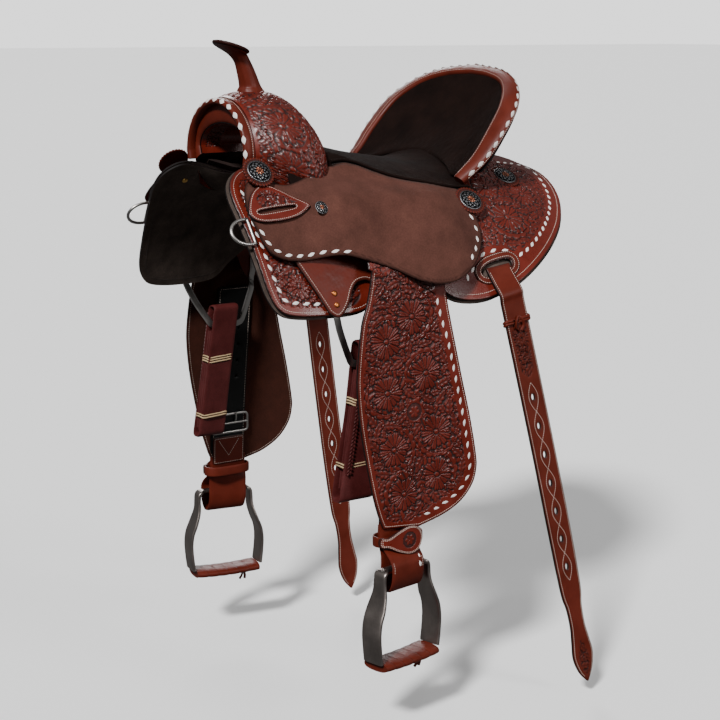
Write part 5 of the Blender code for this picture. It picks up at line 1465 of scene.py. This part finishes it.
def buckle(side, tag):
    q, middle = 0.315, float(strap_middle(0.315))
    back = FENDER_THICK + GAP + STRAP_THICK + GAP + 0.0022
    x = float(fender_point(np.array(STIRRUP_Y), np.array(q), back)[0])
    frame_line = round_corners([(middle - 0.0357, q - 0.0158), (middle + 0.0357, q - 0.0158),
                                (middle + 0.0357, q + 0.0158), (middle - 0.0357, q + 0.0158)], 0.007, 8)
    path = [(x, y, FENDER_TOP_Z - d) for y, d in frame_line]
    parts = [tube_mesh(path, 0, 12, True, (0.0036, 0.0044), (1, 0, 0), 3)]
    bar = [(x, middle - 0.034, FENDER_TOP_Z - q), (x, middle + 0.034, FENDER_TOP_Z - q)]
    parts.append(tube_mesh(resample(bar, 0.004, False), 0.0021, 12))
    for e in (-0.0115, 0.0115):
        prong = [(x + 0.001, middle + e, FENDER_TOP_Z - q),
                 (x - 0.0035, middle + e, FENDER_TOP_Z - q + 0.008),
                 (x - 0.0030, middle + e, FENDER_TOP_Z - q + 0.018)]
        parts.append(tube_mesh(curve(prong, 5), 0.0015, 10))
    together("buckle_frame_" + tag, parts, "steel", "fender_" + tag, side, ("leather_buckle_" + tag,))


def hobble(side, tag):
    """The strap round the stirrup leathers, and the round-ended keeper stitched on its face."""
    q, bulge, wide = 0.3960, 0.0175, 0.0410
    middle = float(strap_middle(q))
    x = float(fender_point(np.array(STIRRUP_Y), np.array(q), 0)[0]) - 0.0052
    a = circle(96)
    ring = stack(x + bulge * np.cos(a), middle + wide * blunt(np.sin(a), 0.5), FENDER_TOP_Z - q)
    ring = resample(ring, 0.0025)
    along = unit(np.roll(ring, -1, 0) - np.roll(ring, 1, 0))
    out = np.cross(along, (0, 0, 1.0))
    tube("hobble_band_" + tag, ring, 0, "smooth", 16, side, True, (0.0032, 0.0160), out, "fender_" + tag,
         ("hobble_strap_" + tag,), 4)

    def place(e, h, lift):
        bow = np.sqrt(np.maximum(1 - np.clip(np.abs(e) / 0.0425, 0, 1)**4, 0))
        return stack(x + bulge * bow + 0.0017 + lift, middle + e, FENDER_TOP_Z - q + h)

    half = ((-0.040, 0.0068), (-0.030, 0.0080), (-0.014, 0.0160), (0.006, 0.0222), (0.022, 0.0190),
            (0.032, 0.0070))
    oval = loop_of(half + tuple((e, -h) for e, h in reversed(half)))

    def relief(spots, away):
        height = medallion(spots[:, 0] - 0.007, spots[:, 1], 0.0150)
        height = np.where(height > MOAT, height, 0)
        # The second value paints shade into the cut parts of the stamp.
        return height, np.clip(-height / 0.0008, 0, 1)

    panel("hobble_panel", oval, place, 0.0, 0.0024, ("tooled",), 0.0009, relief, body="fender_",
          sides=((side, tag),))
    rows("hobble_stitching_" + tag, [
        stitches(place, inset(oval, d), 0.0024, side, True, 0.0030) for d in (0.0018, 0.0034)], "thread",
        "fender_" + tag)


def stirrups():
    half = curve(BOW)
    loop = np.vstack([half[::-1] * (-1, 1), half])
    loop = resample(loop, 0.0025, False)
    along = unit(np.gradient(loop, axis=0))
    out = np.stack([along[:, 1], -along[:, 0]], -1)
    wide = 0.012 + 0.011 * step01((np.abs(loop[:, 0]) - 0.036) / 0.008)
    wide = wide + 0.015 * step01((loop[:, 1] - 0.014) / 0.05)
    for side, tag in BOTH:
        pivot = flip((STIRRUP_X, STIRRUP_Y, STIRRUP_TOP_Z), side)
        turn = np.array(Matrix.Rotation(STIRRUP_TURN * side, 3, "Z"))

        def place(across, depth, down):
            p = stack(depth, across, 0) @ turn.T + pivot
            return p - stack(0, 0, down)

        path = place(loop[:, 0], 0 * loop[:, 0], loop[:, 1])
        up = stack(0, out[:, 0], 0) @ turn.T - stack(0, 0, out[:, 1])
        points, faces = tube_mesh(path, 0, 40, False, (0.0064, wide), up, 4.5)
        put("stirrup_bow_" + tag, points, faces, ("stirrup",), None, "stirrup_" + tag,
            cad=("stirrup_" + tag,))
        a = np.linspace(-0.0575, 0.0575, 150)
        e = circle(48)
        aa, ee = np.meshgrid(a, e, indexing="ij")
        wrap = 0.00075 * np.abs(np.sin(math.pi * (aa + 0.0030 * np.sin(ee)) / 0.0190))**0.5
        deep = 0.1440 + 0.0030 * np.cos(aa / 0.057 * 1.4)
        r_d, r_v = 0.0236 + wrap, 0.0071 + wrap
        points = place(aa.ravel(), (r_d * blunt(np.cos(ee), 0.8)).ravel(),
                       (deep - r_v * blunt(np.sin(ee), 0.8)).ravel())
        # Painted shade in the valleys between the wrap's turns.
        low = np.clip(1 - wrap.ravel() / 0.0003, 0, 1) * 0.8
        put("tread_wrap_" + tag, points, skin(len(a), len(e)), ("smooth",), None, "stirrup_" + tag, low,
            cad=("stirrup_tread_" + tag,))
        ends = []
        for swing in (-0.003, 0.003):
            tie = [(0.034, 0.0, 0.1500), (0.034 + swing * 0.5, 0.003, 0.156), (0.034 + swing, 0.002, 0.162),
                   (0.033 + swing * 1.6, -0.001, 0.169)]
            ends.append(tube_mesh(place(*curve(tie, 5).T), 0, 8, False, LACE_ENDS))
        together("tread_lace_" + tag, ends, "smooth", "stirrup_" + tag)


# ---------------------------------------------------------------- straps and dees
TURN_TOP = 0.0120      # how far under the dee's bar a folded strap's inner layers begin


def latigo(side, name):
    """A strap folded over the dee's bar and down again, its layers tied with twine, a braid on its face."""
    x, z = DEE_ARM[-1][0], DEE_ARM[-1][2]
    half, top = 0.0092, 0.0335
    foot, ahead, wider = (-0.2065, 0.0, 0.32) if side > 0 else (-0.1880, -0.0100, 0.06)
    profile = round_corners([(-half + 0.003, foot), (half + 0.003, foot), (half - 0.003, top),
                             (-half - 0.003, top)],
                            0.0080, 8)
    profile = resample(profile, 0.003)
    along = unit(np.roll(profile, -1, 0) - np.roll(profile, 1, 0))
    normal = np.stack([along[:, 1], -along[:, 0]], -1)
    if np.sum(normal * profile) < 0:
        normal = -normal
    e = np.linspace(-1, 1, 21) * LATIGO_WIDTH / 2

    def place(a, b, edge):
        flare = 1 + wider * step01((-b - 0.06) / 0.14)
        return stack(x + a * (0.7 + 0.3 * flare),
                     PLATE_MIDDLE + ahead + edge * flare + b * math.sin(LATIGO_LEAN),
                     z + b * math.cos(LATIGO_LEAN))

    grids = []
    for sign in (1, -1):
        thick = 0.0016 * np.clip((1.001 - np.abs(e) / e[-1]) / 0.08, 0.2, 1)**0.5
        pa = profile[:, None, 0] + sign * normal[:, None, 0] * thick
        pb = profile[:, None, 1] + sign * normal[:, None, 1] * thick
        grids.append(place(pa, pb, e[None]).reshape(-1, 3))
    nu, nv = len(profile), len(e)
    n = nu * nv
    faces = grid_faces(nu, nv, 0, True) + turned_over(grid_faces(nu, nv, n, True))
    for j in (0, nv - 1):
        wall = [(i * nv + j, ((i + 1) % nu) * nv + j, ((i + 1) % nu) * nv + j + n, i * nv + j + n)
                for i in range(nu)]
        faces += turned_over(wall) if j == 0 else wall
    put(name + "_strap", flip(np.vstack(grids), side), faces, ("latigo",), None, name, cad=(name,))
    for k, (a, depth) in enumerate(((-0.0052, 0.011), (0.0, 0.008), (0.0052, 0.014))):
        depth = -foot - depth - TURN_TOP
        line = [(-a + 0.003 * (1 - d / 0.2), -TURN_TOP - d) for d in np.linspace(0, depth, 30)]
        path = place(np.array([p[0] for p in line]), np.array([p[1] for p in line]), 0.0 * np.arange(30))
        tube(f"{name}_turn_{k + 1}", path, 0, "latigo", 12, side,
             flat=(0.0030, LATIGO_WIDTH * (0.98 - 0.02 * k)), up=(1, 0, 0), body=name, power=5)
    rope = []
    for strand in range(3):
        t = np.linspace(0, 1, 150)
        b = 0.020 - 0.185 * t
        edge = -0.0165 + 0.0030 * np.sin(2 * math.pi * (t * 11 + strand / 3))
        out = half + 0.0032 - 0.003 * b / 0.2 + 0.0011 * np.sin(2 * math.pi * (t * 22 + 2 * strand / 3))
        rope.append(tube_mesh(place(out, b, edge), 0, 8, False, (0.0016, 0.0034), (1, 0, 0)))
    together(name + "_braid", rope, "latigo", name, side)
    turns = []
    for b in (-0.052, -0.056, -0.060, -0.150, -0.154):
        a = circle(48)
        path = place((half + 0.0026) * blunt(np.cos(a), 0.45), b + 0.0012 * np.sin(3 * a),
                     (LATIGO_WIDTH / 2 + 0.0012) * blunt(np.sin(a), 0.45))
        turns.append(tube_mesh(path, 0.0013, 8, True))
    knot = place(np.array((half + 0.004, half + 0.0065, half + 0.004, half + 0.005)),
                 np.array((-0.054, -0.062, -0.075, -0.092)), np.array((0.004, 0.006, 0.004, 0.007)))
    turns.append(tube_mesh(curve(knot, 6), 0.0013, 8))
    together(name + "_twine", turns, "twine", name, side)


def breast_dee(side, tag):
    a, b = side_point(-0.3010, 0.094, 0.0036), side_point(-0.2990, 0.133, 0.0036)
    middle, along = (a + b) / 2, unit(b - a)
    forward = np.array((0, -1.0, 0))
    forward = unit(forward - forward @ along * along)
    half = np.linalg.norm(b - a) / 2
    ring = [a + (b - a) * k / 10 for k in range(11)]
    ring += [middle + forward * (0.006 + 0.027 * math.cos(t)) + along * half * math.sin(t)
             for t in np.radians(90 - 180 * np.arange(33) / 32)]
    tube("breast_dee_wire_" + tag, resample(ring, 0.002), 0.0025, "steel", 14, side, True,
         body="breast_dee_" + tag, cad=("breast_dee_" + tag,))


def flank_billet(side, tag):
    start, lip = side_point(0.080, 0.192, 0.0050), side_point(0.084, 0.238, 0.0090)
    tip, width = np.array(BILLET_TIP[tag]), np.array((0, 0.983, 0.185))
    path = [start, start + (lip - start) * 0.5, lip + (0.001, 0, 0)]
    path += [lip + (tip - lip) * f + (0.004 * math.sin(math.pi * f), 0, 0) for f in
             (0.02, 0.06, 0.15, 0.3, 0.45, 0.6, 0.75, 0.80, 0.85, 0.89, 0.93, 0.97, 1.0)]
    halves = [1] * 9 + [0.92, 0.70, 0.66, 0.80, 0.92, 0.62, 0.05]
    line = curve([(*p, h) for p, h in zip(path, halves)], 12)
    line = resample(line, 0.0020, False)
    p, h = line[:, :3], line[:, 3] * BILLET_WIDTH / 2
    run = np.concatenate([[0], np.cumsum(np.linalg.norm(np.diff(p, axis=0), axis=1))])
    along = unit(np.gradient(p, axis=0))
    across = unit(width - along * (along @ width)[:, None])
    out = unit(np.cross(across, along))
    if out[len(out) // 2, 0] < 0:
        out = -out

    def place(edge, down, lift):
        at, wide, up = (np.stack([np.interp(down, run, rows_[:, k]) for k in range(3)], -1)
                        for rows_ in (p, across, out))
        return at + wide * edge[:, None] + up * lift[:, None]

    ring = np.vstack([np.stack([h, run], -1), np.stack([-h, run], -1)[::-1]])
    middles = [0.215 + HOLE_PITCH * k for k in range(7)]
    holes = [oval_hole(0, at, 0.0030, 0.0054, 24) for at in middles]
    field = Carving(round_corners([(-0.0150, 0.104), (0.0150, 0.104), (0.0120, 0.172), (0.0, 0.184),
                                   (-0.0120, 0.172)],
                                  0.004),
                    ((0.0, 0.122, 0.0120), (0.0, 0.152, 0.0110)), 0.8, rings=0.5)
    end = run[-1]
    tip_field = Carving(loop_of(((0.0, end - 0.072), (0.0090, end - 0.050), (0.0105, end - 0.034),
                                 (0.0, end - 0.012), (-0.0105, end - 0.034), (-0.0090, end - 0.050))),
                        ((0.0, end - 0.042, 0.0085),), 0.2, rings=0)

    def relief(spots, away):
        rise, low = field(spots)
        more, shade = tip_field(spots)
        groove = np.exp(-((away - 0.0030) / 0.0007)**2)
        # The second value paints shade into the carving's cuts and the groove along the edge.
        return rise + more - 0.0003 * groove, np.clip(low + shade + 0.4 * groove, 0, 1)

    panel("flank_strap", ring, place, -BILLET_HALF_THICK, BILLET_HALF_THICK, ("smooth", "edge", "smooth"),
          0.0014, relief, holes=holes, body="flank_billet_", cad="flank_billet", rim=0.0016,
          sides=((side, tag),))
    down = np.linspace(middles[0] - HOLE_PITCH / 2, middles[-1] + HOLE_PITCH / 2, 260)
    lens = 0.0088 * np.sin(math.pi * (down - down[0]) / HOLE_PITCH)
    keep = (run > 0.006) & (run < end - 0.010)
    lines = [np.stack([s * lens, down], -1) for s in (1, -1)]
    lines += [np.stack([s * (h[keep] - 0.0028), run[keep]], -1) for s in (1, -1)]
    parts = []
    for line in lines:
        q, up = frames_along(place, resample(line, 0.002, False), BILLET_HALF_THICK, side)
        parts += [bead_row(at, face, 0.0034, 0.0026, *THREAD, pointed=0.5) for at, face in
                  ((q, up), (q - up * 2 * BILLET_HALF_THICK, -up))]
    rows("flank_stitching_" + tag, parts, "thread", "flank_billet_" + tag)
    k = int(np.searchsorted(run, 0.088))
    band = []
    for i in (k, k + 2):
        a = circle(40)
        c, s = blunt(np.cos(a), 0.4), blunt(np.sin(a), 0.4)
        ring = p[i] + across[i] * (s * (BILLET_WIDTH / 2 + 0.0012))[:, None] + out[i] * (c * 0.0038)[:, None]
        band.append(tube_mesh(ring + along[i] * (0.0015 * np.sin(2 * a))[:, None], 0.0024, 10, True))
    for s in (-1, 1):
        bow = curve(((0.000, 0.085, 0.0050), (s * 0.006, 0.092, 0.0065), (s * 0.008, 0.101, 0.0050),
                     (s * 0.002, 0.108, 0.0042)), 6)
        band.append(tube_mesh(place(*bow.T), 0, 10, False, LACE_ENDS))
    together("flank_tie_" + tag, band, "smooth", "flank_billet_" + tag, side)


# ---------------------------------------------------------------- everything together
def hidden_parts():
    """The tree and ground seat stay as the CAD has them, all in one near-black colour: painted shadow where
    they show through gaps.
    """
    for name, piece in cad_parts.items():
        if name.startswith("tree_") or name == "ground_seat":
            piece.data.materials.clear()
            piece.data.materials.append(M["ground"])


FLOOR_HALF, FLOOR_Z = 90, -0.80
FILL_LOW, FILL_HIGH, BACKDROP = 0.14, 0.30, 1.7      # light from below, from above, and as the camera sees it
SUNS = (("key", (2.0, -3.0, 3.2), 4.8, 8), ("side", (3.4, 1.2, 1.4), 1.1, 16),
        ("back", (-3.0, 1.4, 1.6), 1.0, 20))
AIM, VIEW, DISTANCE, LENS = Vector((0, 0, -0.282)), Vector((0.8041, -0.5630, 0.1908)), 2.773, 85


def studio():
    """Pale floor, soft light that is weaker from below, and the camera from the near front."""
    floor_mesh = bpy.data.meshes.new("floor")
    floor_mesh.from_pydata([(x * FLOOR_HALF, y * FLOOR_HALF, FLOOR_Z) for x, y in
                            ((-1, -1), (1, -1), (1, 1), (-1, 1))], [], [(0, 1, 2, 3)])
    pale = bpy.data.materials.new("floor_white")
    pale.use_nodes = True
    pale.node_tree.nodes["Principled BSDF"].inputs["Base Color"].default_value = (0.9, 0.9, 0.9, 1)
    pale.node_tree.nodes["Principled BSDF"].inputs["Roughness"].default_value = 0.9
    floor_mesh.materials.append(pale)
    floor = bpy.data.objects.new("floor", floor_mesh)
    bpy.context.scene.collection.objects.link(floor)
    floor.visible_diffuse = floor.visible_glossy = False
    world = bpy.data.worlds.new("studio")
    world.use_nodes = True
    tree = world.node_tree
    fill_light = tree.nodes["Background"]
    fill_light.inputs["Color"].default_value = (1, 1, 1, 1)
    height = tree.nodes.new("ShaderNodeSeparateXYZ")
    tree.links.new(tree.nodes.new("ShaderNodeTexCoord").outputs["Generated"], height.inputs[0])
    tree.links.new(ramp(tree, height.outputs["Z"], FILL_LOW, FILL_HIGH, (-0.1, 0.9)),
                   fill_light.inputs["Strength"])
    backdrop = node(tree, "ShaderNodeBackground", Color=(1, 1, 1, 1), Strength=BACKDROP)
    choose = tree.nodes.new("ShaderNodeMixShader")
    tree.links.new(tree.nodes.new("ShaderNodeLightPath").outputs["Is Camera Ray"], choose.inputs["Fac"])
    tree.links.new(fill_light.outputs["Background"], choose.inputs[1])
    tree.links.new(backdrop.outputs["Background"], choose.inputs[2])
    tree.links.new(choose.outputs[0], tree.nodes["World Output"].inputs["Surface"])
    bpy.context.scene.world = world
    for name, place, power, spread in SUNS:
        light = bpy.data.lights.new(name, "SUN")
        light.energy, light.angle = power, math.radians(spread)
        lamp = bpy.data.objects.new(name, light)
        lamp.rotation_euler = (-Vector(place)).to_track_quat("-Z", "Y").to_euler()
        bpy.context.scene.collection.objects.link(lamp)
    camera_data = bpy.data.cameras.new("camera")
    camera_data.lens, camera_data.sensor_width = LENS, 36
    camera = bpy.data.objects.new("camera", camera_data)
    camera.location = VIEW * DISTANCE + AIM
    camera.rotation_euler = (AIM - camera.location).to_track_quat("-Z", "Y").to_euler()
    bpy.context.scene.collection.objects.link(camera)
    bpy.context.scene.camera = camera


hidden_parts()
skirts()
jockey()
seat_fill()
rigging()
trim()
fork()
horn()
seat()
fenders()
leathers()
stirrups()
latigo(1, "latigo_left")
latigo(-1, "off_billet_right")
for one, word in BOTH:
    breast_dee(one, word)
    flank_billet(one, word)
studio()
